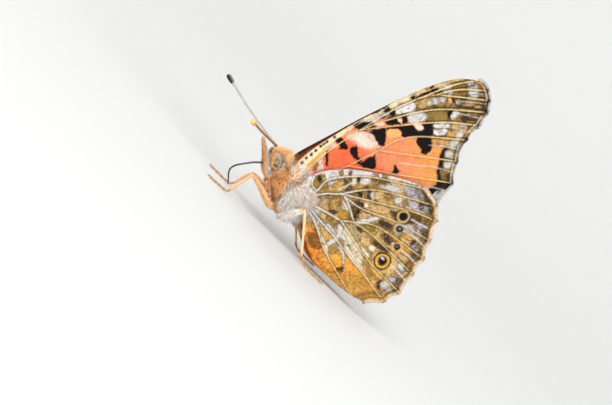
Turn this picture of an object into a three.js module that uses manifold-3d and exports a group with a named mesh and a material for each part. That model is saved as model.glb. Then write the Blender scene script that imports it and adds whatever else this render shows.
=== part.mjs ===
// Painted lady butterfly (Vanessa cardui), life-size, standing with its wings closed over its back. Millimetres.
// +Z is up, the head points along -Y and the left side is +X. The origin is on the floor under the middle of the whole.
import * as THREE from 'three';
import { mergeVertices } from 'three/addons/utils/BufferGeometryUtils.js';
import Module from 'manifold-3d';

const wasm = await Module();
wasm.setup();

// Driving dimensions
const gap = 0.3; // between one piece and the next
const membrane = 0.5; // thickness of a wing between its veins
const ridgeHeight = 0.12; // of a vein above the membrane, on both faces
const ridgeReach = 0.4; // from the middle of a vein to where its ridge ends
const wingRoot = [-3.9, 7.3]; // Y and Z of the forewing's root, from which every wing point is measured
const rootSpread = 1.3; // how far the wings part at their roots, on each side
const rootSpreadReach = 5; // distance from the root over which they close
const closedSpace = 0.62; // from the middle plane to a closed forewing
const closedSlope = 0.008; // by which they open again outwards
const layerStep = 1.05; // from the forewing out to the hindwing that lies on it
const abdomenRoom = 0.7; // extra bulge of the hindwings round the abdomen
const rightWingLag = 1.8; // degrees by which the right wings lie further back than the left
const headPlace = [0, -6.95, 7.33];
const headTilt = 40; // degrees by which the crown leans forward
const antennaThickness = 0.5;
const clubThickness = 0.86;
const solePlane = 0; // height of the flats under the feet

// Outlines and veins of the left wings: backward and upward from the forewing's root. The notches are the depths to which
// the edge is cut in between one vein's end and the next.
const forewing = {
  costa: [[-0.9, -0.1], [-1.3, 2.7], [0.1, 9.1], [1.8, 15.1], [3.8, 20.8], [6.2, 25.2], [8.6, 27.4]],
  veinEnds: [[8.6, 27.4], [10.6, 27.3], [11.8, 26.5], [12.9, 25.2], [13.4, 23.1], [13.8, 20.6], [15.1, 17.6],
    [16.9, 15.0], [17.6, 10.9]],
  notches: [-0.3, -0.1, 0, 0.05, 0.25, 0.35, 0.2, 0.25],
  inner: [[17.6, 10.9], [17.2, 10.0], [13.9, 7.7], [9.3, 4.4], [4.2, 1.4], [1.1, -0.1]],
  veins: [
    [[-0.2, 0.2], [-0.4, 2.8], [0.5, 7.7], [1.3, 12.7], [2.6, 17.0], [3.9, 20.6]],
    [[0.3, 0.1], [0.5, 3.8], [1.4, 8.8], [2.4, 13.2], [3.5, 17.4], [5.3, 21.2], [7.6, 23.3], [11.8, 26.5]],
    [[4.5, 19.8], [6.6, 24.5], [8.6, 27.4]],
    [[5.9, 22.0], [7.6, 24.6], [10.6, 27.3]],
    [[1.9, 11.2], [3.7, 14.9], [5.8, 18.4], [8.3, 21.4], [12.9, 25.2]],
    [[1.9, 11.2], [5.4, 15.4], [9.6, 20.1], [13.4, 23.1]],
    [[1.9, 11.2], [4.3, 11.6], [6.0, 11.1]],
    [[6.0, 11.1], [6.7, 13.8], [8.7, 16.4], [13.8, 20.6]],
    [[0.7, 0.1], [2.2, 3.2], [4.1, 5.9], [5.1, 8.6], [6.0, 11.1]],
    [[6.0, 11.1], [9.0, 13.2], [15.1, 17.6]],
    [[4.4, 6.6], [10.1, 10.3], [16.9, 15.0]],
    [[0.9, 0.1], [5.7, 3.8], [17.6, 10.9]],
  ],
  surface: forewingPlace,
};
const hindwing = {
  costa: [[1.7, -0.6], [0.9, 1.7], [3.6, 5.5], [8.2, 8.9], [12.7, 11.4], [14.3, 11.8]],
  veinEnds: [[14.3, 11.8], [17.3, 11.2], [19.0, 9.7], [20.4, 7.2], [21.7, 4.8], [22.2, 2.2], [22.8, -0.9],
    [22.1, -3.3], [20.0, -5.4]],
  notches: [0, 0.05, 0.3, 0.4, 0.4, 0.3, 0.35, 0.2],
  inner: [[20.0, -5.4], [16.9, -6.0], [14.1, -6.2], [11.6, -6.2], [9.5, -5.7], [5.0, -3.2], [2.9, -1.7]],
  veins: [
    [[3.3, 1.3], [2.2, 1.4], [1.5, 2.4]],
    [[2.3, -0.6], [3.3, 1.3], [3.6, 3.6], [7.5, 7.6], [14.3, 11.8]],
    [[2.4, -0.7], [4.7, 1.9], [6.3, 3.2], [9.7, 7.1], [17.3, 11.2]],
    [[6.3, 3.2], [10.0, 5.3], [15.8, 8.5], [19.0, 9.7]],
    [[7.0, 3.3], [10.2, 3.8], [15.0, 5.8], [20.4, 7.2]],
    [[7.0, 3.3], [8.3, 2.9], [10.6, 1.7]],
    [[2.6, -0.9], [5.9, -0.1], [9.1, 0.6]],
    [[9.1, 0.6], [10.6, 1.7], [13.9, 3.6], [21.7, 4.8]],
    [[10.6, 1.7], [14.4, 2.2], [22.2, 2.2]],
    [[9.1, 0.6], [15.4, -0.6], [22.8, -0.9]],
    [[3.0, -1.0], [9.7, -1.6], [16.8, -2.5], [22.1, -3.3]],
    [[3.2, -1.2], [6.5, -2.0], [10.5, -3.9], [17.3, -5.7]],
  ],
  surface: hindwingPlace,
};

// Sideways place of a forewing's middle layer, from the body's middle plane.
function forewingPlace(back, up) {
  const distance = Math.hypot(back, up);
  return closedSpace + closedSlope * distance + rootSpread * Math.exp(-((distance / rootSpreadReach) ** 2));
}

// The hindwing lies outside the forewing and bulges round the abdomen, less so towards its tip.
function hindwingPlace(back, up) {
  const towardsTip = THREE.MathUtils.smoothstep(back, 13, 23);
  const aboutAbdomen = Math.exp(-(((up + 3.1) / 3.5) ** 2));
  return forewingPlace(back, up) + layerStep + abdomenRoom * (1 - 0.6 * towardsTip) * aboutAbdomen;
}

// A closed mesh with its shared corners merged, by position alone.
function bare(geometry) {
  geometry.deleteAttribute('normal');
  geometry.deleteAttribute('uv');
  return mergeVertices(geometry);
}

function meshOf(positions, index) {
  const geometry = new THREE.BufferGeometry();
  geometry.setAttribute('position', new THREE.BufferAttribute(new Float32Array(positions), 3));
  geometry.setIndex(index);
  return geometry;
}

function solidOf(geometry) {
  const vertProperties = new Float32Array(geometry.attributes.position.array);
  return new wasm.Manifold(new wasm.Mesh({ numProp: 3, vertProperties, triVerts: new Uint32Array(geometry.index.array) }));
}

// The largest closed surface of a solid.
function largestOf(solid) {
  const pieces = solid.decompose();
  pieces.sort((a, b) => b.volume() - a.volume());
  const mesh = pieces[0].getMesh();
  return meshOf(mesh.vertProperties, [...mesh.triVerts]);
}

function mirrored(geometry) {
  const copy = geometry.clone().scale(-1, 1, 1);
  const index = [];
  for (let i = 0; i < geometry.index.count; i += 3) {
    index.push(geometry.index.getX(i), geometry.index.getX(i + 2), geometry.index.getX(i + 1));
  }
  return copy.setIndex(index);
}

const curveOf = (points) => new THREE.CatmullRomCurve3(points.map((point) => new THREE.Vector3(...point)));

// Stations in between a few given ones: [share of the length, half width, half height] on a smooth curve.
function between(given, count) {
  return curveOf(given).getPoints(count).map((station) => [THREE.MathUtils.clamp(station.x, 0, 1), station.y, station.z]);
}

// A closed body swept along a line, its width as near to the X axis as the line allows.
function sweep(points, stations, sides) {
  const line = curveOf(points);
  const positions = [];
  const index = [];
  stations.forEach(([share, halfWidth, halfHeight]) => {
    const centre = line.getPointAt(share);
    const along = line.getTangentAt(share);
    const across = new THREE.Vector3(1, 0, 0).addScaledVector(along, -along.x).normalize();
    const upward = new THREE.Vector3().crossVectors(along, across);
    for (let side = 0; side < sides; side += 1) {
      const turn = (2 * Math.PI * (side + 0.5)) / sides;
      const corner = centre.clone();
      corner.addScaledVector(across, halfWidth * Math.cos(turn)).addScaledVector(upward, halfHeight * Math.sin(turn));
      positions.push(...corner);
    }
  });
  const start = stations.length * sides;
  positions.push(...line.getPointAt(stations[0][0]), ...line.getPointAt(stations.at(-1)[0]));
  for (let side = 0; side < sides; side += 1) {
    const next = (side + 1) % sides;
    index.push(start, next, side);
    for (let ring = 0; ring < stations.length - 1; ring += 1) {
      const low = ring * sides;
      const high = low + sides;
      index.push(low + side, low + next, high + next, low + side, high + next, high + side);
    }
    index.push(start + 1, start - sides + side, start - sides + next);
  }
  return meshOf(positions, index);
}

// A length of limb with bevelled flat ends.
function limb(points, startThickness, endThickness, sides = 8, rings = 5) {
  const stations = [[0, startThickness * 0.36, startThickness * 0.36]];
  for (let ring = 0; ring <= rings; ring += 1) {
    const share = THREE.MathUtils.lerp(0.05, 0.95, ring / rings);
    const half = THREE.MathUtils.lerp(startThickness, endThickness, share) / 2;
    stations.push([share, half, half]);
  }
  stations.push([1, endThickness * 0.36, endThickness * 0.36]);
  return sweep(points, stations, sides);
}

function ellipsoid([x, y, z], [halfX, halfY, halfZ], sides, rings) {
  const ball = new THREE.SphereGeometry(1, sides, rings).scale(halfX, halfY, halfZ).translate(x, y, z);
  return bare(ball);
}

// Delaunay triangles of flat points, adding one point at a time.
function triangulate(points) {
  const far = 1000;
  const count = points.length;
  const all = [...points, new THREE.Vector2(-far, -far), new THREE.Vector2(far, -far), new THREE.Vector2(0, far)];
  const withCircle = (corners) => {
    const [a, b, c] = corners.map((corner) => all[corner]);
    const ab = b.clone().sub(a);
    const ac = c.clone().sub(a);
    const scale = 0.5 / ab.cross(ac);
    const x = (ac.y * ab.lengthSq() - ab.y * ac.lengthSq()) * scale;
    const y = (ab.x * ac.lengthSq() - ac.x * ab.lengthSq()) * scale;
    return { corners, centre: new THREE.Vector2(a.x + x, a.y + y), reach: x * x + y * y };
  };
  let triangles = [withCircle([count, count + 1, count + 2])];
  points.forEach((point, added) => {
    const rim = new Map();
    triangles = triangles.filter(({ corners, centre, reach }) => {
      if (centre.distanceToSquared(point) >= reach) return true;
      corners.forEach((from, k) => {
        const to = corners[(k + 1) % 3];
        if (!rim.delete(`${to} ${from}`)) rim.set(`${from} ${to}`, [from, to]);
      });
      return false;
    });
    for (const [from, to] of rim.values()) triangles.push(withCircle([from, to, added]));
  });
  return triangles.map(({ corners }) => corners).filter((corners) => Math.max(...corners) < count);
}

const flatCurve = (points) => new THREE.SplineCurve(points.map(([back, up]) => new THREE.Vector2(back, up)));

function spaced(points, step) {
  const curve = flatCurve(points);
  return curve.getSpacedPoints(Math.max(2, Math.round(curve.getLength() / step)));
}

function distanceToLine(point, line) {
  let nearest = Infinity;
  for (let i = 0; i < line.length - 1; i += 1) {
    const span = line[i + 1].clone().sub(line[i]);
    const share = THREE.MathUtils.clamp(point.clone().sub(line[i]).dot(span) / span.lengthSq(), 0, 1);
    nearest = Math.min(nearest, point.distanceTo(line[i].clone().addScaledVector(span, share)));
  }
  return nearest;
}

function isInside(point, outline) {
  let inside = false;
  outline.forEach((a, i) => {
    const b = outline[(i + 1) % outline.length];
    if ((a.y > point.y) !== (b.y > point.y) && point.x < a.x + ((b.x - a.x) * (point.y - a.y)) / (b.y - a.y)) {
      inside = !inside;
    }
  });
  return inside;
}

// A wing's edge, anticlockwise as seen from the left: up the costa would run clockwise, so it is turned round.
function wingOutline({ costa, veinEnds, notches, inner }) {
  const notchSteps = 4;
  const edge = spaced(costa, 1.6);
  edge.pop();
  for (let i = 0; i < veinEnds.length - 1; i += 1) {
    const from = new THREE.Vector2(...veinEnds[i]);
    const to = new THREE.Vector2(...veinEnds[i + 1]);
    const inward = to.clone().sub(from).normalize();
    for (let step = 0; step < notchSteps; step += 1) {
      const share = step / notchSteps;
      const point = from.clone().lerp(to, share);
      const depth = notches[i] * Math.sin(Math.PI * share);
      edge.push(new THREE.Vector2(point.x + inward.y * depth, point.y - inward.x * depth));
    }
  }
  edge.push(...spaced(inner, 1.7));
  return edge.reverse();
}

// The membrane and its veins as one sheet: both faces are split into the same triangles, and the ridges are raised in them.
function wingSheet(wing) {
  const stationStep = 1.7;
  const fillStep = 3;
  const clearOfEdge = 0.45;
  const clearOfPoint = 0.3;
  const edge = wingOutline(wing);
  const rim = [...edge, edge[0]];
  const veins = wing.veins.map((points) => spaced(points, stationStep));
  const points = [...edge];
  const add = (point) => {
    if (!isInside(point, edge) || distanceToLine(point, rim) < clearOfEdge) return;
    if (points.every((other) => other.distanceTo(point) > clearOfPoint)) points.push(point);
  };
  veins.flat().forEach(add);
  for (const vein of veins) {
    vein.forEach((point, i) => {
      const before = vein[Math.max(i - 1, 0)];
      const after = vein[Math.min(i + 1, vein.length - 1)];
      const aside = after.clone().sub(before).normalize().rotateAround(new THREE.Vector2(), Math.PI / 2);
      for (const side of [-ridgeReach, ridgeReach]) {
        const flank = point.clone().addScaledVector(aside, side);
        if (veins.every((other) => other === vein || distanceToLine(flank, other) > ridgeReach * 0.7)) add(flank);
      }
    });
  }
  for (let row = 0; row < 12; row += 1) {
    for (let column = 0; column < 9; column += 1) {
      const spot = new THREE.Vector2((column + 0.5 * (row % 2)) * fillStep, (row - 2.3) * fillStep + 0.1 * column);
      if (veins.every((vein) => distanceToLine(spot, vein) > 1)) add(spot);
    }
  }
  const faces = triangulate(points).filter((corners) => {
    const middle = new THREE.Vector2();
    corners.forEach((corner) => middle.addScaledVector(points[corner], 1 / 3));
    return isInside(middle, edge);
  });
  return sheetOf(points, faces, veins, wing.surface);
}

function sheetOf(points, faces, veins, surface) {
  const count = points.length;
  const place = (side) => points.flatMap((point) => {
    const nearest = Math.min(...veins.map((vein) => distanceToLine(point, vein)));
    const raised = ridgeHeight * Math.max(0, 1 - nearest / (ridgeReach * 0.95));
    const x = surface(point.x, point.y) + side * (membrane / 2 + raised);
    return [x, wingRoot[0] + point.x, wingRoot[1] + point.y];
  });
  const index = [];
  const rim = new Map();
  for (const [a, b, c] of faces) {
    index.push(a, b, c, count + a, count + c, count + b);
    for (const [from, to] of [[a, b], [b, c], [c, a]]) {
      if (!rim.delete(`${to} ${from}`)) rim.set(`${from} ${to}`, [from, to]);
    }
  }
  for (const [from, to] of rim.values()) {
    index.push(to, from, count + from, to, count + from, count + to);
  }
  return meshOf([...place(1), ...place(-1)], index);
}

// Thorax: a deep, humped barrel that leans up towards the head.
const thoraxLine = [[0, -5.2, 6.95], [0, -4.0, 6.5], [0, -2.6, 6.0], [0, -1.0, 5.4], [0, 1.0, 4.75]];
const thoraxStations = [[0, 1.05, 1.3], [0.04, 1.5, 1.75], [0.16, 2.05, 2.25], [0.32, 2.35, 2.65], [0.48, 2.5, 2.85],
  [0.65, 2.4, 2.7], [0.82, 2.0, 2.15], [0.95, 1.5, 1.6], [1, 1.05, 1.15]];

function thorax(grown) {
  const stations = between(thoraxStations, 13);
  return sweep(thoraxLine, stations.map(([share, wide, high]) => [share, wide + grown, high + grown]), 20);
}

// Abdomen: eight rings that taper to the tip, with a shallow groove after each.
function abdomen() {
  const rings = 8;
  const stationsPerRing = 3;
  const line = [[0, 1.35, 4.6], [0, 4.2, 4.3], [0, 8.2, 3.9], [0, 14.2, 3.4]];
  const outline = [[0, 1.1, 1.2], [0.03, 1.4, 1.55], [0.2, 1.75, 2.0], [0.45, 1.7, 1.9], [0.7, 1.35, 1.5],
    [0.9, 0.85, 0.9], [1, 0.4, 0.4]];
  const stations = between(outline, rings * stationsPerRing).map(([share, wide, high], i) => {
    const groove = i % stationsPerRing === 0 && i > 0 ? 0.94 : 1;
    return [share, wide * groove, high * groove];
  });
  return sweep(line, stations, 16);
}

// Head, in its own upright frame: the face looks along -Y.
const eyePlace = [1.1, -0.18, 0.38];
const eyeHalf = { out: 0.72, in: 0.3, deep: 0.72, high: 1.12 };

// One compound eye, domed outwards and nearly flat within.
function eye(grown) {
  const geometry = new THREE.SphereGeometry(1, 18, 12);
  const corners = geometry.attributes.position;
  for (let i = 0; i < corners.count; i += 1) {
    const halfX = (corners.getX(i) > 0 ? eyeHalf.out : eyeHalf.in) + grown;
    corners.setXYZ(i, corners.getX(i) * halfX, corners.getY(i) * (eyeHalf.deep + grown),
      corners.getZ(i) * (eyeHalf.high + grown));
  }
  return bare(geometry).translate(...eyePlace);
}

function head() {
  const skull = solidOf(ellipsoid([0, 0.3, 0], [1.35, 1.05, 1.78], 22, 16));
  const socket = eye(gap);
  return largestOf(skull.subtract(solidOf(socket)).subtract(solidOf(mirrored(socket))));
}

function palp() {
  const line = [[0.55, -0.45, -2.1], [0.8, -1.1, -1.85], [0.88, -1.38, -0.9], [0.87, -1.4, 0.3], [0.62, -1.68, 1.7],
    [0.4, -2.0, 2.95]];
  const stations = between([[0, 0.16, 0.18], [0.05, 0.27, 0.3], [0.3, 0.31, 0.36], [0.6, 0.3, 0.34], [0.85, 0.26, 0.27],
    [0.97, 0.16, 0.17], [1, 0.07, 0.07]], 12);
  return sweep(line, stations, 10);
}

function antenna(line) {
  const shaft = antennaThickness / 2;
  const club = clubThickness / 2;
  const stations = [[0, shaft * 0.8, shaft * 0.8], [0.03, shaft, shaft], [0.17, shaft, shaft], [0.34, shaft, shaft],
    [0.51, shaft, shaft], [0.68, shaft, shaft], [0.84, shaft * 1.1, shaft * 1.1], [0.89, club * 0.85, club * 0.85],
    [0.93, club, club], [0.96, club * 0.95, club * 0.95], [0.985, club * 0.65, club * 0.65], [1, club * 0.2, club * 0.2]];
  return sweep(line, stations, 8);
}

// The flats of a foot: whatever of it would be under the floor is brought up to it.
function standing(geometry) {
  const corners = geometry.attributes.position;
  for (let i = 0; i < corners.count; i += 1) corners.setZ(i, Math.max(corners.getZ(i), solePlane));
  return geometry;
}

// Materials
const surface = (color, roughness) => new THREE.MeshStandardMaterial({ color, roughness, metalness: 0 });
const forewingScales = surface(0xc98a5c, 0.8);
const hindwingScales = surface(0xa8946a, 0.8);
const paleHair = surface(0xcdb69a, 0.9);
const tanHair = surface(0xc98f55, 0.9);
const eyeGlaze = surface(0x8a8458, 0.3);
const darkHorn = surface(0x2a2420, 0.4);
const shaftScales = surface(0xb9aa9c, 0.6);
const legScales = surface(0xd9a066, 0.6);

const butterfly = new THREE.Group();

function addTo(parent, name, geometry, material) {
  const mesh = new THREE.Mesh(geometry, material);
  mesh.name = name;
  parent.add(mesh);
}

// Both sides of a piece that is the same on the left and the right.
function addPair(parent, name, geometry, material) {
  addTo(parent, `${name}_left`, geometry, material);
  addTo(parent, `${name}_right`, mirrored(geometry), material);
}

// Wings: each is joined to the knob at its root, and cut clear of the thorax.
const aroundThorax = solidOf(thorax(gap));
const forewingKnob = ellipsoid([2.05, -3.8, 7.75], [0.5, 0.95, 0.8], 14, 10);
const hindwingKnob = ellipsoid([2.85, -1.1, 6.2], [0.5, 1.1, 0.75], 14, 10);
const lag = new THREE.Matrix4().makeTranslation(0, ...wingRoot)
  .multiply(new THREE.Matrix4().makeRotationX(-THREE.MathUtils.degToRad(rightWingLag)))
  .multiply(new THREE.Matrix4().makeTranslation(0, -wingRoot[0], -wingRoot[1]));

function addWings(name, wing, knob, material) {
  const sheet = wingSheet(wing);
  const left = solidOf(sheet).add(solidOf(knob)).subtract(aroundThorax);
  const right = solidOf(mirrored(sheet).applyMatrix4(lag)).add(solidOf(mirrored(knob))).subtract(aroundThorax);
  addTo(butterfly, `${name}_left`, largestOf(left), material);
  addTo(butterfly, `${name}_right`, largestOf(right), material);
}
addWings('forewing', forewing, forewingKnob, forewingScales);
addWings('hindwing', hindwing, hindwingKnob, hindwingScales);

addTo(butterfly, 'thorax', thorax(0), paleHair);
addTo(butterfly, 'abdomen', abdomen(), tanHair);

const headGroup = new THREE.Group();
headGroup.position.set(...headPlace);
headGroup.rotation.x = THREE.MathUtils.degToRad(headTilt);
butterfly.add(headGroup);
addTo(headGroup, 'head', head(), tanHair);
addPair(headGroup, 'eye', eye(0), eyeGlaze);
addPair(headGroup, 'palp', palp(), tanHair);

// The antennae are spread unevenly, the left one further out.
addTo(butterfly, 'antenna_left', antenna([[0.6, -8.75, 8.95], [4.63, -12.72, 9.3], [9.3, -16.4, 9.85]]), legScales);
addTo(butterfly, 'antenna_right', antenna([[-0.6, -8.75, 8.95], [-3.95, -13.24, 9.54], [-8.6, -17.95, 10.55]]),
  shaftScales);

// Proboscis: forward from the mouth, then down to just above the floor.
addTo(butterfly, 'proboscis_base', limb([[0, -6.95, 5.65], [0, -7.6, 6.2], [0, -8.85, 5.3], [0, -9.8, 4.15]], 0.5, 0.5),
  darkHorn);
addTo(butterfly, 'proboscis_tip', limb([[0, -10.0, 3.9], [0, -10.6, 2.9], [0, -10.6, 2.0], [0, -9.7, 0.95],
  [0, -9.3, 0.5]], 0.5, 0.3), darkHorn);

// Forelegs: small brushes, folded up against the front of the thorax.
addPair(butterfly, 'foreleg', limb([[0.65, -3.95, 2.8], [0.85, -4.7, 3.25], [0.8, -5.4, 4.0], [0.65, -5.85, 4.75]],
  0.7, 0.5), tanHair);

// Walking legs, from the thorax out: the hip, thigh, shin and foot, each set off from the last by the gap.
const legs = {
  leg_mid_left: {
    hip: [[1.35, -2.35, 3.2], [1.75, -3.3, 2.75]],
    thigh: [[1.9, -3.75, 2.7], [2.7, -6.5, 3.55], [3.45, -8.7, 4.1]],
    shin: [[3.6, -9.1, 3.95], [4.15, -9.65, 2.1], [4.6, -10.05, 0.75]],
    foot: [[4.65, -10.3, 0.32], [4.8, -10.9, 0.2], [5.0, -12.2, 0.2], [5.3, -13.9, 0.2]],
  },
  leg_mid_right: {
    hip: [[-1.35, -2.35, 3.2], [-1.8, -3.1, 2.75]],
    thigh: [[-2.05, -3.4, 2.75], [-3.3, -4.9, 3.4], [-4.5, -6.15, 3.65]],
    shin: [[-4.65, -6.45, 3.4], [-4.7, -6.95, 2.1], [-4.7, -7.3, 0.75]],
    foot: [[-4.75, -7.6, 0.32], [-4.85, -8.2, 0.2], [-5.0, -9.6, 0.2], [-5.3, -11.3, 0.2]],
  },
  leg_hind_left: {
    hip: [[1.35, -0.6, 2.85], [1.75, -1.3, 2.6]],
    thigh: [[2.0, -1.6, 2.75], [3.0, -1.1, 4.1], [4.0, -0.5, 5.5]],
    shin: [[4.1, -0.15, 5.5], [4.15, 1.8, 3.4], [4.4, 3.9, 0.95]],
    foot: [[4.45, 4.2, 0.65], [4.5, 5.0, 0.3], [4.6, 6.2, 0.2], [4.85, 8.7, 0.2]],
  },
  leg_hind_right: {
    hip: [[-1.35, -0.6, 2.85], [-1.75, -1.3, 2.6]],
    thigh: [[-2.0, -1.55, 2.75], [-3.0, -0.7, 4.0], [-3.95, 0.3, 5.1]],
    shin: [[-4.0, 0.7, 5.05], [-4.1, 2.9, 2.95], [-4.2, 5.1, 0.9]],
    foot: [[-4.25, 5.4, 0.62], [-4.3, 6.1, 0.3], [-4.4, 7.2, 0.2], [-4.6, 9.7, 0.2]],
  },
};
for (const [name, { hip, thigh, shin, foot }] of Object.entries(legs)) {
  addTo(butterfly, `${name}_hip`, limb(hip, 0.8, 0.7, 10, 3), tanHair);
  addTo(butterfly, `${name}_thigh`, limb(thigh, 0.7, 0.6), legScales);
  addTo(butterfly, `${name}_shin`, limb(shin, 0.6, 0.5), legScales);
  addTo(butterfly, `${name}_foot`, standing(limb(foot, 0.5, 0.5, 8, 8)), legScales);
}

export default butterfly;
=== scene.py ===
# Painted lady butterfly (Vanessa cardui), life-size, standing with its wings closed over its back.
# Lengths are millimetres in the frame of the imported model: +Z up, the head towards -Y, the left side +X.
import math
import bpy
import numpy as np
from mathutils import Matrix, Vector
from mathutils.geometry import delaunay_2d_cdt


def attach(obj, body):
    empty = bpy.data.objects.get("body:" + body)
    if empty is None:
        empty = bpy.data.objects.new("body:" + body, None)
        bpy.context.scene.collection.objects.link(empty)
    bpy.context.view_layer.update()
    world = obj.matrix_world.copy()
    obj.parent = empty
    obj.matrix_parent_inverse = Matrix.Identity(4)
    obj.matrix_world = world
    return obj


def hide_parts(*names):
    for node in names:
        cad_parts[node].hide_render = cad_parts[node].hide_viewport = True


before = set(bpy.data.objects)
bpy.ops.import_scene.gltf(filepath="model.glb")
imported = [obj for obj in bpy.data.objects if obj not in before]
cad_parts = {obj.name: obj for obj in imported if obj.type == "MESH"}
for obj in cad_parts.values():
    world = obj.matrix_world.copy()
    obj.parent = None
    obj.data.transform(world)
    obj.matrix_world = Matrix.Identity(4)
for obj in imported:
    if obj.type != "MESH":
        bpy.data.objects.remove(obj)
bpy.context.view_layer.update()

MM = 0.001
WING_ROOT = (-3.9, 7.3)  # y and z of the point from which the wing plans are drawn
FORE_SHIFT = 0.05  # how far each wing sheet stands out from the plans' place for it
HIND_SHIFT = -0.18
RIGHT_LAG = math.radians(1.8)  # how much further back the right wings are turned
HEAD_PLACE = (0.0, -6.95, 7.33)
HEAD_TILT = math.radians(40)
EYE_PLACE = (1.1, -0.18, 0.38)  # the left eye, on the upright head
EYE_HALF = (0.72, 0.72, 1.12)


# Colour

def tone(red, green, blue):
    """A colour as the eye reads it, 0 to 255, in the linear light the shaders use."""
    def linear(value):
        share = value / 255
        return share / 12.92 if share <= 0.04045 else ((share + 0.055) / 1.055) ** 2.4
    return np.array([linear(red), linear(green), linear(blue)])


def blend(first, second, share):
    return first * (1 - share) + second * share


BLACK = tone(12, 9, 9)
UMBER = tone(56, 40, 27)
BROWN = tone(94, 70, 40)
OLIVE = tone(132, 104, 50)
TAN = tone(190, 154, 100)
GOLD = tone(214, 160, 78)
OCHRE = tone(222, 158, 62)
ORANGE = tone(226, 136, 48)
CORAL = tone(226, 100, 62)
SALMON = tone(220, 128, 88)
BLUSH = tone(228, 196, 184)
CREAM = tone(220, 202, 168)
WHITE = tone(200, 196, 192)
PEARL = tone(186, 182, 176)
LILAC = tone(164, 156, 160)
RUST = tone(150, 84, 46)


# Noise, the same on every run

def lattice(seed):
    return np.random.RandomState(seed).rand(64, 64)


def ease(share):
    share = np.clip(share, 0, 1)
    return share * share * (3 - 2 * share)


def noise(along, across, size, seed):
    grid = lattice(seed)
    a = np.asarray(along) / size + 31.7
    b = np.asarray(across) / size + 17.3
    i = np.floor(a).astype(int)
    j = np.floor(b).astype(int)
    s = ease(a - i)
    t = ease(b - j)
    low = grid[i % 64, j % 64] * (1 - s) + grid[(i + 1) % 64, j % 64] * s
    high = grid[i % 64, (j + 1) % 64] * (1 - s) + grid[(i + 1) % 64, (j + 1) % 64] * s
    return (low * (1 - t) + high * t) * 2 - 1


def mottle(along, across, size, seed):
    return 0.6 * noise(along, across, size, seed) + 0.4 * noise(across, along, size * 0.43, seed + 1)


# Flat outlines

def smooth(points, step, closed=False):
    """Points at about one spacing on the smooth curve through a few given ones."""
    given = [np.array(point, float) for point in points]
    count = len(given)
    spans = count if closed else count - 1
    out = []
    for k in range(spans):
        if closed:
            a, b, c, d = (given[(k + n) % count] for n in (-1, 0, 1, 2))
        else:
            b, c = given[k], given[k + 1]
            a = given[k - 1] if k else 2 * b - c
            d = given[k + 2] if k + 2 < count else 2 * c - b
        pieces = max(1, int(round(np.linalg.norm(c - b) / step)))
        for piece in range(pieces):
            t = piece / pieces
            out.append(0.5 * (2 * b + (c - a) * t + (2 * a - 5 * b + 4 * c - d) * t * t
                              + (3 * b - a - 3 * c + d) * t ** 3))
    if not closed:
        out.append(given[-1])
    return np.array(out)


def line_distance(u, v, line):
    """Distance to the nearest point of a line, and how far along the line that point is, from 0 to 1."""
    nearest = np.full(u.shape, 1e9)
    share = np.zeros(u.shape)
    lengths = np.linalg.norm(np.diff(line, axis=0), axis=1)
    total = lengths.sum()
    done = 0.0
    for a, b, length in zip(line[:-1], line[1:], lengths):
        du, dv = b - a
        t = np.clip(((u - a[0]) * du + (v - a[1]) * dv) / max(length * length, 1e-9), 0, 1)
        distance = np.hypot(u - a[0] - t * du, v - a[1] - t * dv)
        better = distance < nearest
        nearest = np.where(better, distance, nearest)
        share = np.where(better, (done + t * length) / total, share)
        done += length
    return nearest, share


def inside(u, v, outline):
    within = np.zeros(u.shape, bool)
    for a, b in zip(outline, np.roll(outline, -1, axis=0)):
        if a[1] == b[1]:
            continue
        crosses = (a[1] > v) != (b[1] > v)
        within ^= crosses & (u < a[0] + (b[0] - a[0]) * (v - a[1]) / (b[1] - a[1]))
    return within


def depth_in(u, v, outline):
    """Distance from an outline: positive inside it, negative outside."""
    ring = np.vstack([outline, outline[:1]])
    distance, _ = line_distance(u, v, ring)
    return np.where(inside(u, v, outline), distance, -distance)


# Wing plans, from the forewing's root: backward, then upward

FOREWING = {
    "costa": [(-0.9, -0.1), (-1.3, 2.7), (0.1, 9.1), (1.8, 15.1), (3.8, 20.8), (6.2, 25.2), (8.6, 27.4)],
    "vein_ends": [(8.6, 27.4), (10.6, 27.3), (11.8, 26.5), (12.9, 25.2), (13.4, 23.1), (13.8, 20.6),
                  (15.1, 17.6), (16.9, 15.0), (17.6, 10.9)],
    "notches": [-0.3, -0.1, 0, 0.05, 0.25, 0.35, 0.2, 0.25],
    "inner": [(17.6, 10.9), (17.2, 10.0), (13.9, 7.7), (9.3, 4.4), (4.2, 1.4), (1.1, -0.1)],
    "veins": [
        [(-0.2, 0.2), (-0.4, 2.8), (0.5, 7.7), (1.3, 12.7), (2.6, 17.0), (3.9, 20.6)],
        [(0.3, 0.1), (0.5, 3.8), (1.4, 8.8), (2.4, 13.2), (3.5, 17.4), (5.3, 21.2), (7.6, 23.3),
         (11.8, 26.5)],
        [(4.5, 19.8), (6.6, 24.5), (8.6, 27.4)],
        [(5.9, 22.0), (7.6, 24.6), (10.6, 27.3)],
        [(1.9, 11.2), (3.7, 14.9), (5.8, 18.4), (8.3, 21.4), (12.9, 25.2)],
        [(1.9, 11.2), (5.4, 15.4), (9.6, 20.1), (13.4, 23.1)],
        [(1.9, 11.2), (4.3, 11.6), (6.0, 11.1)],
        [(6.0, 11.1), (6.7, 13.8), (8.7, 16.4), (13.8, 20.6)],
        [(0.7, 0.1), (2.2, 3.2), (4.1, 5.9), (5.1, 8.6), (6.0, 11.1)],
        [(6.0, 11.1), (9.0, 13.2), (15.1, 17.6)],
        [(4.4, 6.6), (10.1, 10.3), (16.9, 15.0)],
        [(0.9, 0.1), (5.7, 3.8), (17.6, 10.9)],
    ],
}
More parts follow.
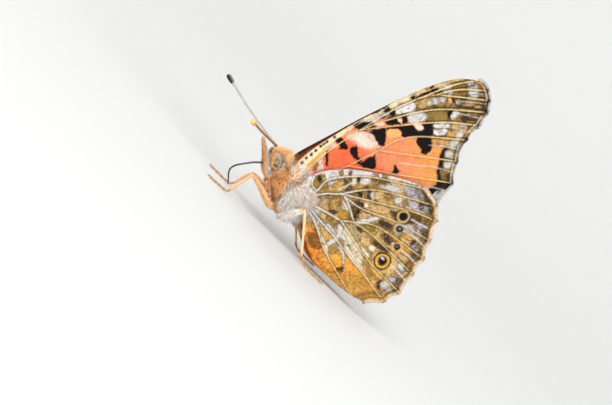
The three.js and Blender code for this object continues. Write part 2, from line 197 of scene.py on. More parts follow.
HINDWING = {
    "costa": [(1.7, -0.6), (0.9, 1.7), (3.6, 5.5), (8.2, 8.9), (12.7, 11.4), (14.3, 11.8)],
    "vein_ends": [(14.3, 11.8), (17.3, 11.2), (19.0, 9.7), (20.4, 7.2), (21.7, 4.8), (22.2, 2.2),
                  (22.8, -0.9), (22.1, -3.3), (20.0, -5.4)],
    "notches": [0, 0.05, 0.3, 0.4, 0.4, 0.3, 0.35, 0.2],
    "inner": [(20.0, -5.4), (16.9, -6.0), (14.1, -6.2), (11.6, -6.2), (9.5, -5.7), (5.0, -3.2), (2.9, -1.7)],
    "veins": [
        [(3.3, 1.3), (2.2, 1.4), (1.5, 2.4)],
        [(2.3, -0.6), (3.3, 1.3), (3.6, 3.6), (7.5, 7.6), (14.3, 11.8)],
        [(2.4, -0.7), (4.7, 1.9), (6.3, 3.2), (9.7, 7.1), (17.3, 11.2)],
        [(6.3, 3.2), (10.0, 5.3), (15.8, 8.5), (19.0, 9.7)],
        [(7.0, 3.3), (10.2, 3.8), (15.0, 5.8), (20.4, 7.2)],
        [(7.0, 3.3), (8.3, 2.9), (10.6, 1.7)],
        [(2.6, -0.9), (5.9, -0.1), (9.1, 0.6)],
        [(9.1, 0.6), (10.6, 1.7), (13.9, 3.6), (21.7, 4.8)],
        [(10.6, 1.7), (14.4, 2.2), (22.2, 2.2)],
        [(9.1, 0.6), (15.4, -0.6), (22.8, -0.9)],
        [(3.0, -1.0), (9.7, -1.6), (16.8, -2.5), (22.1, -3.3)],
        [(3.2, -1.2), (6.5, -2.0), (10.5, -3.9), (17.3, -5.7)],
    ],
}
# Creases pressed between the veins, from the middle of the wing to its edge
FORE_CREASES = [
    [(10.1, 22.3), (11.5, 23.2), (13.2, 24.2)],
    [(9.2, 18.9), (10.9, 20.3), (13.3, 21.7)],
    [(10.5, 16.4), (12.3, 17.8), (14.1, 18.9)],
    [(9.4, 11.8), (11.7, 13.5), (13.6, 14.9), (15.8, 16.1)],
    [(8.6, 23.3), (10.3, 24.7), (11.9, 25.9)],
    [(9.1, 25.4), (10.6, 26.6)],
    [(14.3, 11.9), (15.7, 12.9), (17.1, 13.6)],
]
HIND_CREASES = [
    [(16.0, 7.4), (17.4, 7.8), (18.9, 8.2)],
    [(16.7, 5.6), (18.3, 6.0), (20.6, 6.1)],
    [(18.4, 3.5), (19.9, 3.6), (21.7, 3.5)],
    [(18.9, 1.0), (20.4, 1.0), (22.3, 0.8)],
    [(12.1, -1.6), (14.9, -1.9), (18.1, -2.7)],
    [(5.7, 3.5), (6.2, 5.0), (6.4, 6.0)],
]


def forewing_place(u, v):
    """How far out from the middle of the body the wing stands."""
    distance = np.hypot(u, v)
    return 0.62 + 0.008 * distance + 1.3 * np.exp(-((distance / 5) ** 2))


def hindwing_place(u, v):
    bulge = 0.7 * (1 - 0.6 * ease((u - 13) / 10)) * np.exp(-(((v + 3.1) / 3.5) ** 2))
    return forewing_place(u, v) + 1.05 + bulge


def wing_edge(plan, step):
    """The whole outline, and the share of it that is the outer margin, at a fine spacing."""
    costa = smooth(plan["costa"], step)
    margin = []
    ends = [np.array(end, float) for end in plan["vein_ends"]]
    for start, end, notch in zip(ends[:-1], ends[1:], plan["notches"]):
        along = (end - start) / np.linalg.norm(end - start)
        pieces = max(2, int(round(np.linalg.norm(end - start) / step)))
        for piece in range(pieces):
            share = piece / pieces
            depth = notch * math.sin(math.pi * share)
            point = start + (end - start) * share
            margin.append(point + depth * np.array([along[1], -along[0]]))
    margin.append(ends[-1])
    margin = np.array(margin)
    inner = smooth(plan["inner"], step)
    return np.vstack([costa[:-1], margin, inner[1:]]), margin


# Marks of the underside: each has a name, a colour, how soft its edge is, and an outline

FORE_MARKS = [
    ("rose_field", CORAL, 0.8, [(1.1, 4.7), (0.6, 5.7), (0.8, 6.7), (1.1, 7.6), (1.3, 9.2), (2.0, 10.2),
     (3.6, 9.6), (5.0, 10.0), (6.0, 9.5), (8.0, 9.6), (9.0, 9.3), (7.2, 8.2), (4.8, 6.2), (3.2, 4.8),
     (2.4, 4.0)]),
    ("blush", BLUSH, 0.45, [(1.3, 9.2), (1.4, 10.1), (2.2, 11.3), (3.5, 12.1), (4.8, 12.0), (5.4, 11.4),
     (4.8, 10.4), (3.9, 9.7), (2.8, 9.6), (1.9, 9.4)]),
    ("costal_cream", CREAM, 0.15, [(-0.4, -0.8), (-1.0, 0.8), (-1.2, 2.6), (-1.0, 4.7), (-0.5, 6.8),
     (0.1, 9.1), (0.8, 10.8), (1.0, 10.5), (0.7, 9.1), (0.5, 7.7), (0.4, 5.9), (0.2, 4.1), (0.1, 2.2),
     (0.0, 0.8), (0.0, -0.4)]),
    ("costal_gold", GOLD, 0.15, [(-0.1, 0.7), (-0.1, 2.4), (0.0, 3.9), (0.1, 5.6), (0.3, 7.0), (0.5, 7.4),
     (0.7, 5.8), (0.9, 4.5), (0.7, 2.9), (0.6, 1.5)]),
    ("orange_spot", OCHRE, 0.15, [(-0.3, 0.7), (-0.7, 1.4), (-0.5, 1.8), (-0.2, 1.7), (0.0, 1.0)]),
    ("crescent", PEARL, 0.2, [(1.0, 2.6), (0.8, 3.9), (0.6, 5.0), (0.5, 6.2), (0.7, 7.5), (1.4, 7.5),
     (0.8, 6.7), (0.7, 5.6), (1.1, 4.7), (2.0, 4.0), (1.6, 3.3)]),
    ("oval", RUST, 0.15, [(1.1, 2.7), (0.7, 3.4), (0.8, 4.1), (1.2, 4.1), (1.4, 3.5), (1.5, 2.9)]),
    ("tip_ochre", tone(178, 146, 88), 0.2, [(4.7, 19.2), (5.1, 20.3), (6.3, 21.9), (7.0, 22.4),
     (6.8, 21.4), (6.4, 20.0), (5.6, 19.0)]),
    ("tip_cell_pale", PEARL, 0.25, [(5.9, 20.7), (6.6, 22.0), (7.2, 22.6), (7.3, 22.1), (6.6, 20.7)]),
    ("outer_ochre", tone(196, 146, 86), 0.2, [(9.9, 17.1), (11.8, 18.6), (12.5, 18.3), (12.3, 17.6),
     (11.0, 16.7)]),
    ("cream_bar", CREAM, 0.15, [(2.3, 16.5), (3.1, 18.6), (3.6, 19.3), (4.0, 19.1), (3.2, 17.5),
     (3.0, 16.3)]),
    ("cream_bar_end", CREAM, 0.12, [(3.7, 19.8), (4.2, 21.2), (4.7, 21.5), (4.2, 20.1), (4.0, 19.7)]),
    ("front_black", BLACK, 0.2, [(0.8, 10.9), (1.1, 12.3), (2.0, 13.3), (3.0, 13.2), (2.9, 12.3),
     (1.5, 11.0)]),
    ("black_tip", BLACK, 0.12, [(3.3, 19.2), (3.6, 19.9), (4.1, 19.8), (4.1, 19.2), (3.5, 19.0)]),
    ("black_edge", BLACK, 0.12, [(4.4, 21.4), (5.4, 22.8), (5.6, 22.8), (5.6, 22.4), (4.9, 21.3),
     (4.5, 20.0), (4.2, 19.7)]),
    ("band", BLACK, 0.15, [(4.2, 14.0), (5.4, 15.5), (6.6, 16.7), (7.4, 16.8), (7.7, 16.8), (7.5, 17.8),
     (8.5, 18.8), (9.9, 17.7), (8.5, 16.0), (7.5, 15.3), (6.7, 14.6), (6.2, 15.0), (5.2, 14.4),
     (4.7, 13.6)]),
    ("leaning_black", BLACK, 0.1, [(8.5, 15.9), (9.7, 17.4), (10.6, 17.0), (11.2, 16.2), (11.3, 15.3),
     (10.5, 14.7), (10.2, 15.2), (9.4, 15.3)]),
    ("pale_notch", BLUSH, 0.12, [(6.6, 16.9), (7.0, 17.5), (8.2, 17.5), (7.8, 16.8)]),
    ("front_bar_white", WHITE, 0.15, [(3.4, 16.2), (3.4, 17.4), (4.2, 18.9), (5.1, 18.9), (5.3, 18.3),
     (4.3, 16.6)]),
    ("rear_bar_white", WHITE, 0.15, [(5.4, 16.9), (5.2, 17.6), (6.2, 19.0), (7.2, 19.1), (7.4, 18.3),
     (6.3, 16.8)]),
    ("tip_white", WHITE, 0.12, [(5.5, 22.7), (5.5, 23.2), (6.2, 24.3), (6.6, 24.3), (6.7, 23.8),
     (5.8, 22.8)]),
    ("tip_white_grey", PEARL, 0.15, [(6.2, 22.9), (7.0, 23.9), (7.5, 23.8), (7.4, 23.2), (6.6, 22.8)]),
    ("round_black", BLACK, 0.12, [(8.9, 21.4), (9.0, 22.1), (9.3, 22.0), (9.5, 21.4), (9.9, 21.0),
     (9.4, 20.9)]),
    ("round_white", WHITE, 0.15, [(9.4, 21.9), (9.5, 22.4), (10.0, 22.4), (10.4, 21.7), (10.3, 21.1),
     (9.7, 21.2)]),
    ("small_dark", UMBER, 0.12, [(8.0, 23.3), (8.4, 23.4), (8.8, 23.0), (8.5, 22.8)]),
    ("small_white", WHITE, 0.12, [(8.6, 23.3), (8.8, 23.6), (9.1, 23.4), (8.9, 23.1)]),
    ("tip_bar", PEARL, 0.3, [(7.9, 26.0), (7.9, 26.5), (8.5, 26.8), (9.3, 26.5), (10.5, 25.7),
     (9.7, 24.9), (8.9, 25.4)]),
    ("cell_bar", BLACK, 0.12, [(0.6, 5.9), (0.7, 6.3), (2.3, 4.8), (2.3, 4.6), (1.9, 4.5)]),
    ("cell_block", BLACK, 0.1, [(0.5, 7.7), (0.6, 8.6), (1.5, 8.7), (2.6, 8.2), (1.8, 7.2), (1.4, 7.8)]),
    ("cell_blot", BLACK, 0.1, [(3.1, 8.2), (2.8, 8.9), (3.2, 9.3), (3.8, 9.2), (4.3, 8.6), (5.2, 8.5),
     (5.3, 7.8), (4.5, 7.9), (3.8, 7.9)]),
    ("dome", BLACK, 0.12, [(3.0, 12.1), (3.3, 12.8), (4.3, 13.7), (5.0, 13.5), (5.8, 12.3), (5.5, 11.7),
     (5.1, 11.7), (4.7, 12.1), (3.9, 12.2)]),
    ("wedge", BLACK, 0.1, [(5.2, 7.7), (5.6, 9.0), (6.1, 10.2), (7.4, 8.9), (6.5, 8.1), (5.7, 7.7)]),
    ("comma", BLACK, 0.1, [(9.5, 9.8), (9.5, 10.5), (9.1, 11.1), (9.4, 11.2), (9.9, 11.0), (10.3, 11.1),
     (10.4, 10.5), (9.9, 10.1)]),
    ("outer_black", BLACK, 0.15, [(12.5, 16.7), (12.3, 18.0), (12.6, 18.0), (13.4, 16.4), (14.0, 15.8),
     (14.4, 15.0), (15.5, 14.3), (16.5, 15.2), (17.1, 14.3), (15.6, 13.0), (14.9, 14.0), (13.9, 14.5),
     (13.6, 15.4)]),
    ("corner", BLACK, 0.12, [(15.1, 12.1), (15.4, 13.2), (16.0, 14.1), (16.6, 15.3), (17.1, 14.8),
     (17.0, 14.0), (16.2, 13.0), (16.4, 12.1), (15.7, 11.8)]),
    ("margin_pale_one", PEARL, 0.3, [(12.2, 18.8), (13.0, 19.6), (13.8, 19.0), (13.1, 18.3)]),
    ("margin_pale_two", PEARL, 0.2, [(12.9, 17.4), (13.3, 18.0), (14.0, 18.0), (14.3, 17.5), (13.8, 17.0),
     (13.4, 16.8)]),
    ("margin_pale_three", PEARL, 0.2, [(13.9, 16.3), (14.5, 17.1), (15.2, 16.8), (14.7, 15.7)]),
    ("margin_tan_one", TAN, 0.3, [(11.7, 20.4), (12.6, 21.8), (13.1, 21.4), (12.6, 19.9)]),
    ("margin_tan_two", TAN, 0.3, [(10.3, 20.6), (11.4, 21.8), (11.9, 21.3), (10.9, 20.4)]),
    ("margin_tan_three", TAN, 0.3, [(9.3, 23.2), (11.5, 25.2), (12.1, 24.9), (9.9, 23.1)]),
    ("margin_dark", UMBER, 0.3, [(15.3, 15.2), (15.9, 15.8), (16.6, 15.3), (15.9, 14.7)]),
    ("strip_cream", tone(214, 192, 152), 0.12, [(-0.1, 9.3), (0.5, 11.1), (0.9, 12.6), (1.5, 14.6),
     (2.1, 16.5), (2.9, 18.6), (3.7, 20.9), (4.1, 20.6), (3.5, 19.0), (2.7, 16.4), (2.9, 16.0),
     (2.5, 15.2), (2.0, 14.1), (1.5, 12.5), (1.0, 11.1), (0.7, 9.7), (0.6, 8.7)]),
    ("strip_tan", tone(204, 170, 112), 0.1, [(3.2, 19.4), (4.6, 22.5), (6.0, 24.7), (7.1, 26.2),
     (8.5, 27.4), (9.4, 27.7), (9.2, 27.5), (8.6, 27.3), (7.3, 26.1), (6.2, 24.5), (5.1, 22.4),
     (3.8, 19.8)]),
    ("between_grey", PEARL, 0.2, [(1.5, 12.5), (2.0, 13.6), (2.5, 15.2), (3.1, 15.7), (3.2, 15.4),
     (3.3, 14.9), (2.9, 13.9), (2.7, 13.1), (2.3, 13.2), (1.8, 12.6)]),
    ("between_pale", CREAM, 0.12, [(2.9, 13.2), (3.4, 14.3), (3.9, 14.1), (3.5, 13.3)]),
    ("edge_dash", BLACK, 0.08, [(0.7, 10.9), (1.0, 12.2), (1.1, 12.7), (1.2, 12.4), (1.0, 11.1)]),
    ("edge_line", UMBER, 0.08, [(1.1, 12.9), (1.5, 14.6), (2.1, 16.5), (2.3, 16.3), (1.8, 14.5),
     (1.2, 12.9)]),
    ("streaky_black", BLACK, 0.12, [(1.2, 11.1), (1.4, 12.0), (1.9, 12.7), (2.4, 13.2), (3.1, 13.0),
     (3.5, 13.3), (3.2, 12.3), (2.4, 11.4), (1.6, 11.1)]),
    ("bent_black", BLACK, 0.1, [(2.4, 15.2), (2.2, 15.7), (2.3, 16.3), (3.0, 16.1), (3.2, 16.4),
     (4.0, 16.1), (3.6, 15.5), (3.0, 15.7), (2.7, 15.4)]),
    ("small_smudge", UMBER, 0.1, [(2.7, 14.0), (2.6, 14.7), (3.0, 15.1), (3.3, 15.0), (3.2, 14.4)]),
    ("long_smudge", BLACK, 0.12, [(3.2, 14.2), (3.4, 14.8), (4.1, 15.9), (5.1, 15.9), (5.4, 15.8),
     (5.0, 15.0), (4.0, 14.2), (3.6, 14.3)]),
    ("pale_arc", CREAM, 0.08, [(4.3, 15.9), (4.6, 16.3), (5.1, 16.3), (5.4, 15.8), (4.9, 15.8)]),
    ("hook", BLACK, 0.1, [(4.2, 16.3), (4.7, 17.0), (5.5, 17.0), (5.9, 16.4), (5.6, 15.9), (5.1, 16.2),
     (4.7, 16.4)]),
    ("neck", BLACK, 0.1, [(1.6, 11.1), (2.7, 11.7), (3.5, 12.7), (4.3, 13.8), (4.9, 13.6), (5.4, 12.9),
     (6.0, 12.1), (5.4, 11.5), (5.0, 11.7), (3.8, 11.9), (2.8, 11.6), (1.8, 11.0)]),
    ("saddle", BLACK, 0.1, [(3.5, 13.1), (4.6, 14.6), (6.6, 16.6), (7.3, 16.7), (7.9, 16.4), (7.8, 15.5),
     (6.7, 14.5), (5.9, 15.2), (4.9, 14.4)]),
    ("orange_square", tone(238, 162, 98), 0.12, [(4.7, 13.7), (5.8, 15.0), (6.7, 14.5), (5.9, 13.4),
     (5.6, 13.0)]),
    ("tip_dash", BLACK, 0.08, [(4.3, 21.5), (4.9, 22.7), (5.0, 22.4), (4.5, 21.5)]),
    ("tip_fleck", BLACK, 0.08, [(5.0, 22.1), (5.5, 22.8), (5.5, 22.5), (5.3, 22.1)]),
    ("cell_olive", tone(122, 98, 26), 0.15, [(6.4, 24.6), (7.4, 26.0), (7.9, 26.0), (8.1, 25.6),
     (6.9, 24.3)]),
    ("tip_pale", PEARL, 0.15, [(7.9, 26.3), (8.4, 26.9), (9.0, 26.9), (9.1, 26.4), (8.3, 25.6)]),
    ("second_olive", tone(118, 96, 32), 0.15, [(7.4, 24.3), (8.5, 25.4), (8.9, 24.9), (8.0, 24.0)]),
    ("second_pale", PEARL, 0.15, [(8.7, 25.6), (9.6, 26.5), (10.1, 26.3), (9.1, 25.3)]),
    ("tip_brown", tone(146, 98, 30), 0.2, [(8.8, 27.0), (9.3, 27.4), (10.3, 27.3), (11.3, 26.5),
     (10.8, 26.0), (9.8, 26.8)]),
    ("third_pale", PEARL, 0.25, [(5.8, 20.2), (6.1, 21.0), (6.9, 22.3), (7.5, 22.1), (6.6, 20.7),
     (6.0, 20.0)]),
    ("third_gold", GOLD, 0.1, [(7.4, 22.9), (7.9, 23.0), (8.4, 22.5), (7.9, 22.5)]),
    ("third_black", BLACK, 0.1, [(7.9, 23.1), (8.2, 23.4), (8.8, 22.9), (8.4, 22.7)]),
    ("third_spot", WHITE, 0.08, [(8.4, 23.2), (8.7, 23.6), (9.2, 23.6), (8.8, 23.0)]),
    ("third_dark", UMBER, 0.15, [(9.0, 22.9), (10.2, 23.9), (12.3, 25.3), (12.3, 25.1), (10.5, 23.6),
     (9.3, 22.8)]),
    ("net_patch", tone(128, 104, 54), 0.2, [(6.7, 19.5), (8.4, 21.4), (9.0, 21.2), (9.6, 20.5),
     (7.7, 18.6), (7.4, 19.2)]),
    ("crescent_black", BLACK, 0.08, [(9.0, 21.2), (8.9, 21.8), (9.3, 22.0), (9.5, 21.3), (9.8, 20.9),
     (9.4, 20.9)]),
    ("fourth_dark", UMBER, 0.2, [(10.6, 22.1), (11.7, 23.0), (13.1, 23.9), (13.0, 23.4), (11.8, 22.5),
     (11.0, 21.8)]),
    ("upper_lobe", WHITE, 0.1, [(8.7, 18.7), (9.1, 19.5), (10.2, 20.5), (10.7, 20.2), (9.8, 19.1),
     (9.0, 18.5)]),
    ("lower_lobe", WHITE, 0.1, [(9.3, 18.3), (10.7, 19.7), (11.0, 19.1), (10.4, 18.1), (9.7, 18.0)]),
    ("fifth_pale", PEARL, 0.15, [(11.4, 21.5), (12.2, 22.0), (12.4, 21.7), (11.8, 21.3)]),
    ("fifth_ochre", tone(178, 140, 70), 0.15, [(11.0, 19.5), (11.7, 20.4), (12.2, 19.9), (11.3, 19.0)]),
    ("sixth_pale", PEARL, 0.15, [(12.1, 19.9), (12.2, 21.0), (13.0, 20.4), (12.5, 19.6)]),
    ("corner_pale", PEARL, 0.1, [(16.1, 11.8), (16.3, 12.9), (17.0, 13.4), (17.1, 12.3), (16.7, 11.5)]),
    ("last_black", BLACK, 0.1, [(16.9, 11.4), (17.2, 12.2), (17.6, 11.8), (17.6, 11.1)]),
]
COSTAL_TICKS = [(-0.6, 0.4), (-0.9, 1.7), (-0.8, 2.5), (-0.8, 3.4), (-0.6, 4.2), (-0.5, 5.0), (-0.4, 5.9),
                (-0.3, 6.4), (-0.2, 6.9), (0.1, 8.1)]
HIND_MARKS = [
    ("root", WHITE, 0.3, [(-0.2, 0.4), (0.3, 1.9), (1.4, 3.3), (1.8, 2.5), (2.1, 1.2), (2.9, 0.1),
     (3.3, -0.9), (2.6, -1.8), (1.1, -1.2)]),
    ("costal", WHITE, 0.2, [(0.5, 1.7), (1.4, 3.3), (3.6, 5.5), (6.9, 8.5), (9.4, 10.1), (11.7, 11.3),
     (13.9, 12.0), (16.0, 12.0), (15.8, 11.6), (13.8, 11.3), (11.6, 10.5), (9.8, 9.3), (8.6, 8.5),
     (5.4, 5.7), (4.3, 4.5), (3.1, 3.0), (1.8, 2.8)]),
    ("costal_tick_one", OLIVE, 0.12, [(3.7, 5.2), (4.1, 5.7), (4.7, 5.3), (4.2, 4.8)]),
    ("costal_tick_two", BROWN, 0.12, [(4.8, 6.3), (5.1, 6.6), (5.6, 6.0), (5.3, 5.8)]),
    ("costal_tick_three", BROWN, 0.12, [(7.5, 8.4), (8.0, 8.7), (8.3, 8.5), (7.9, 8.2)]),
    ("costal_tick_four", OLIVE, 0.12, [(8.5, 9.2), (9.2, 9.5), (9.4, 9.2), (8.9, 8.9)]),
    ("root_tan", TAN, 0.15, [(0.6, 0.7), (0.8, 1.7), (1.0, 1.7), (1.2, 1.1), (1.0, 0.7)]),
    ("root_smear", TAN, 0.2, [(2.0, 0.5), (2.1, 1.2), (2.9, 0.6), (3.1, -0.1)]),
    ("front_tan", TAN, 0.25, [(3.7, 3.5), (5.1, 5.1), (5.6, 5.6), (6.4, 5.3), (6.4, 4.1), (6.0, 3.2),
     (4.9, 2.4), (4.0, 2.8)]),
    ("front_net", BROWN, 0.2, [(5.0, 5.0), (5.8, 5.8), (6.3, 5.5), (6.4, 4.7), (5.9, 4.3)]),
    ("front_cream", CREAM, 0.2, [(5.9, 5.8), (6.3, 6.3), (6.8, 5.8), (6.7, 5.0)]),
    ("front_white", WHITE, 0.15, [(6.6, 6.6), (7.7, 7.6), (8.2, 7.4), (8.2, 6.8), (7.7, 6.2),
     (7.0, 6.1)]),
    ("white_tick_one", BROWN, 0.12, [(6.1, 6.4), (6.5, 6.7), (7.1, 5.9), (6.7, 6.0)]),
    ("white_tick_two", BROWN, 0.12, [(7.6, 7.8), (8.2, 8.1), (8.3, 7.6), (7.9, 7.5)]),
    ("front_square_brown", BROWN, 0.2, [(8.2, 7.8), (9.2, 8.9), (9.9, 9.2), (10.4, 9.0), (10.1, 8.4),
     (9.2, 8.0)]),
    ("small_dash", UMBER, 0.1, [(8.0, 6.2), (8.2, 6.6), (8.5, 6.3), (8.3, 6.1)]),
    ("front_square_pale", PEARL, 0.3, [(9.5, 7.6), (10.5, 9.0), (11.7, 9.5), (12.1, 8.7), (10.4, 7.8)]),
    ("front_lilac", PEARL, 0.3, [(11.6, 10.3), (13.7, 11.0), (15.1, 10.9), (15.6, 10.2), (14.3, 9.8),
     (12.7, 9.5)]),
    ("front_corner_dark", UMBER, 0.3, [(14.3, 11.6), (16.5, 11.1), (17.9, 10.0), (17.1, 9.8),
     (15.5, 10.7)]),
    ("square_front", CREAM, 0.12, [(8.4, 5.6), (8.6, 5.8), (9.5, 5.1), (9.3, 4.9)]),
    ("square_tan", TAN, 0.15, [(9.5, 6.6), (10.4, 7.6), (11.2, 6.9), (10.2, 5.9)]),
    ("square_cream", CREAM, 0.1, [(9.1, 6.4), (9.4, 6.6), (10.2, 5.8), (10.0, 5.6)]),
    ("pale_before_eyes", PEARL, 0.25, [(12.3, 7.9), (12.8, 8.8), (13.7, 9.3), (14.8, 9.1), (14.7, 8.2),
     (13.5, 7.8)]),
    ("lilac_before_eyes", LILAC, 0.25, [(14.2, 9.3), (15.5, 10.0), (16.5, 10.1), (17.4, 9.6), (16.1, 8.8),
     (15.0, 8.5)]),
    ("square_low", CREAM, 0.12, [(9.6, 4.7), (10.1, 4.9), (10.7, 4.3), (10.2, 4.1)]),
    ("middle_tan", TAN, 0.25, [(10.4, 4.9), (12.2, 6.2), (13.2, 6.6), (13.3, 5.7), (11.3, 4.5)]),
    ("eye_shade", UMBER, 0.3, [(13.2, 6.2), (14.3, 7.1), (15.9, 7.9), (17.4, 8.2), (16.4, 6.6),
     (15.0, 5.9), (13.9, 5.9)]),
    ("streak_tan", TAN, 0.2, [(10.3, 3.3), (11.7, 4.1), (12.2, 4.2), (11.0, 2.5)]),
    ("long_streak", WHITE, 0.2, [(10.3, 1.2), (11.0, 2.4), (12.2, 4.2), (13.0, 4.4), (12.5, 3.4),
     (11.4, 1.7)]),
    ("cell_pale", CREAM, 0.25, [(7.4, 2.7), (8.4, 2.8), (9.3, 2.1), (8.6, 1.8), (7.8, 2.0)]),
    ("cell_streak", CREAM, 0.2, [(4.9, 0.0), (6.4, 0.5), (8.0, 1.0), (7.3, 0.5), (5.7, 0.0)]),
    ("middle_dark", BROWN, 0.25, [(12.7, 3.9), (14.5, 5.0), (15.4, 5.1), (15.4, 4.3), (14.2, 3.9)]),
    ("streak_brown", BROWN, 0.15, [(12.3, 2.6), (13.5, 3.2), (13.8, 2.8), (13.1, 2.0), (12.3, 2.0)]),
    ("mottle_tan", TAN, 0.25, [(10.7, 0.8), (12.3, 1.6), (13.5, 1.7), (13.0, 0.5), (11.6, 0.4)]),
    ("dark_before_eyes", BROWN, 0.25, [(14.7, 3.0), (16.3, 3.7), (17.5, 3.7), (16.6, 2.8), (15.6, 2.7)]),
    ("low_tan", TAN, 0.25, [(12.8, 1.1), (14.3, 1.5), (14.7, 0.5), (13.5, 0.4)]),
    ("low_cream_one", CREAM, 0.2, [(14.6, 1.0), (15.5, 1.3), (15.8, 0.6), (15.0, 0.4)]),
    ("low_dark", UMBER, 0.25, [(14.7, 1.7), (16.3, 2.3), (17.7, 2.5), (17.1, 1.8), (15.6, 1.4)]),
    ("low_cream_two", CREAM, 0.25, [(13.6, 0.0), (14.8, 0.2), (15.9, -0.3), (14.8, -0.6)]),
    ("lower_white_one", WHITE, 0.2, [(7.0, -1.4), (8.5, -0.8), (10.4, -1.2), (12.0, -1.7), (10.6, -1.7),
     (9.1, -1.6)]),
    ("lower_white_two", WHITE, 0.2, [(9.4, -0.8), (10.2, 0.1), (11.7, -0.2), (12.9, -1.0), (11.7, -1.2),
     (10.5, -1.0)]),
    ("lower_pale", CREAM, 0.2, [(13.0, -1.1), (14.6, -1.2), (15.9, -1.8), (15.6, -2.4), (14.3, -1.9)]),
    ("lower_lilac", LILAC, 0.2, [(4.8, -1.3), (6.0, -1.1), (7.8, -1.2), (6.7, -1.7)]),
    ("lower_brown", BROWN, 0.25, [(7.0, -2.5), (8.1, -2.3), (9.6, -3.7), (9.1, -4.3), (8.0, -4.2)]),
    # Painted light: orange and gold over the inner part of the wing, where light shines through it from
    # behind
    ("painted_backlight_orange", ORANGE, 0.35, [(5.0, -3.2), (6.1, -2.9), (7.5, -2.8), (9.1, -3.0), (10.5, -3.6),
     (12.2, -4.0), (13.8, -3.7), (15.2, -3.5), (16.0, -3.9), (14.3, -4.9), (12.8, -5.8), (11.0, -6.0),
     (8.7, -5.4), (7.1, -4.9)]),
    ("painted_backlight_gold", GOLD, 0.3, [(10.9, -4.1), (11.6, -3.0), (12.9, -2.3), (14.4, -2.4), (16.7, -2.6),
     (15.9, -3.8), (13.6, -4.3)]),
    ("inner_spot", UMBER, 0.1, [(13.7, -3.8), (14.1, -3.6), (14.4, -3.9), (14.1, -4.2)]),
    ("corner_white", PEARL, 0.15, [(19.5, -1.9), (19.9, -1.1), (21.1, -1.0), (21.8, -1.5), (21.2, -2.1),
     (20.3, -2.1)]),
    ("corner_outline", BLACK, 0.12, [(19.3, -2.3), (19.4, -1.4), (19.9, -0.9), (19.7, -1.7), (20.1, -2.3),
     (20.8, -2.5), (20.5, -2.6)]),
    ("corner_black", BLACK, 0.15, [(19.8, -5.2), (21.5, -4.3), (21.9, -4.7), (20.2, -5.4)]),
    ("margin_gold", GOLD, 0.2, [(16.3, -0.7), (17.8, -0.9), (19.7, -1.1), (19.0, -1.6), (17.3, -1.3)]),
    ("margin_lilac_one", LILAC, 0.2, [(20.5, 0.0), (21.0, 0.8), (22.2, 0.7), (22.8, -0.3), (22.4, -0.6),
     (21.4, -0.1)]),
    ("margin_lilac_two", LILAC, 0.2, [(19.8, -0.4), (20.9, 0.2), (21.3, -0.4), (20.7, -0.8)]),
    ("margin_dark", BROWN, 0.15, [(21.8, -0.7), (22.9, -0.6), (23.0, -1.0), (21.9, -1.2)]),
    ("submargin_one", PEARL, 0.25, [(16.0, 6.2), (16.9, 6.9), (18.1, 6.8), (18.2, 6.1), (16.8, 5.9)]),
    ("submargin_two", BROWN, 0.25, [(18.0, 7.5), (19.2, 7.9), (20.6, 7.0), (19.6, 6.7), (18.6, 6.9)]),
    ("submargin_three", TAN, 0.25, [(16.8, 4.8), (18.2, 5.4), (19.4, 5.2), (19.0, 4.5), (17.5, 4.3)]),
    ("submargin_four", BROWN, 0.25, [(19.7, 4.8), (20.7, 5.7), (21.9, 4.8), (21.4, 4.0), (20.2, 4.1)]),
    ("submargin_five", TAN, 0.2, [(18.3, 3.0), (19.3, 3.2), (20.6, 3.2), (19.9, 2.6), (18.8, 2.5)]),
    ("submargin_six", BROWN, 0.25, [(20.3, 2.3), (21.0, 3.4), (21.8, 2.8), (21.6, 2.0)]),
    ("submargin_lilac_one", LILAC, 0.2, [(17.2, 7.6), (18.3, 8.0), (18.7, 7.6), (17.9, 7.2)]),
    ("submargin_lilac_two", LILAC, 0.2, [(19.2, 1.9), (20.4, 2.2), (21.4, 1.8), (20.4, 1.4)]),
    ("submargin_lilac_three", LILAC, 0.2, [(18.2, 5.2), (19.5, 5.5), (20.0, 5.0), (19.0, 4.7)]),
    ("front_oval", tone(134, 108, 40), 0.1, [(1.9, 3.1), (2.7, 3.7), (3.1, 3.2), (3.1, 2.4), (3.1, 1.9),
     (3.0, 1.5), (2.4, 1.4), (1.9, 1.7), (1.8, 2.4)]),
    ("front_oval_dark", BLACK, 0.12, [(2.0, 2.6), (2.1, 3.0), (2.8, 2.8), (2.9, 2.4), (2.4, 2.3)]),
    ("second_oval", tone(152, 118, 46), 0.12, [(3.1, 2.4), (3.7, 2.9), (4.2, 2.6), (4.5, 1.9), (3.6, 1.2),
     (3.1, 1.5)]),
    ("gap_pale", PEARL, 0.25, [(3.5, 3.4), (4.2, 4.1), (4.5, 3.6), (4.2, 2.8), (3.7, 3.0)]),
    ("front_ochre", tone(176, 138, 66), 0.2, [(4.6, 3.4), (4.7, 4.2), (4.9, 5.0), (5.8, 4.4), (6.1, 3.6),
     (5.1, 2.7)]),
    ("front_brown", tone(92, 66, 24), 0.12, [(4.9, 5.1), (5.7, 5.9), (6.1, 5.4), (6.1, 4.7), (5.8, 4.1),
     (5.5, 4.9)]),
    ("small_net", UMBER, 0.1, [(6.3, 3.9), (6.4, 4.7), (6.8, 5.0), (6.9, 4.4), (6.6, 3.9)]),
    ("tick_before", BLACK, 0.06, [(6.6, 6.1), (6.3, 6.6), (6.6, 6.8), (6.9, 6.2)]),
    ("tick_behind", BLACK, 0.06, [(7.7, 7.8), (8.2, 8.1), (8.2, 7.6)]),
    ("cell_band", tone(142, 98, 30), 0.15, [(3.5, 0.2), (3.8, 0.7), (5.1, 1.9), (6.4, 3.0), (7.0, 3.0),
     (6.2, 2.3), (5.4, 1.6), (4.4, 0.8)]),
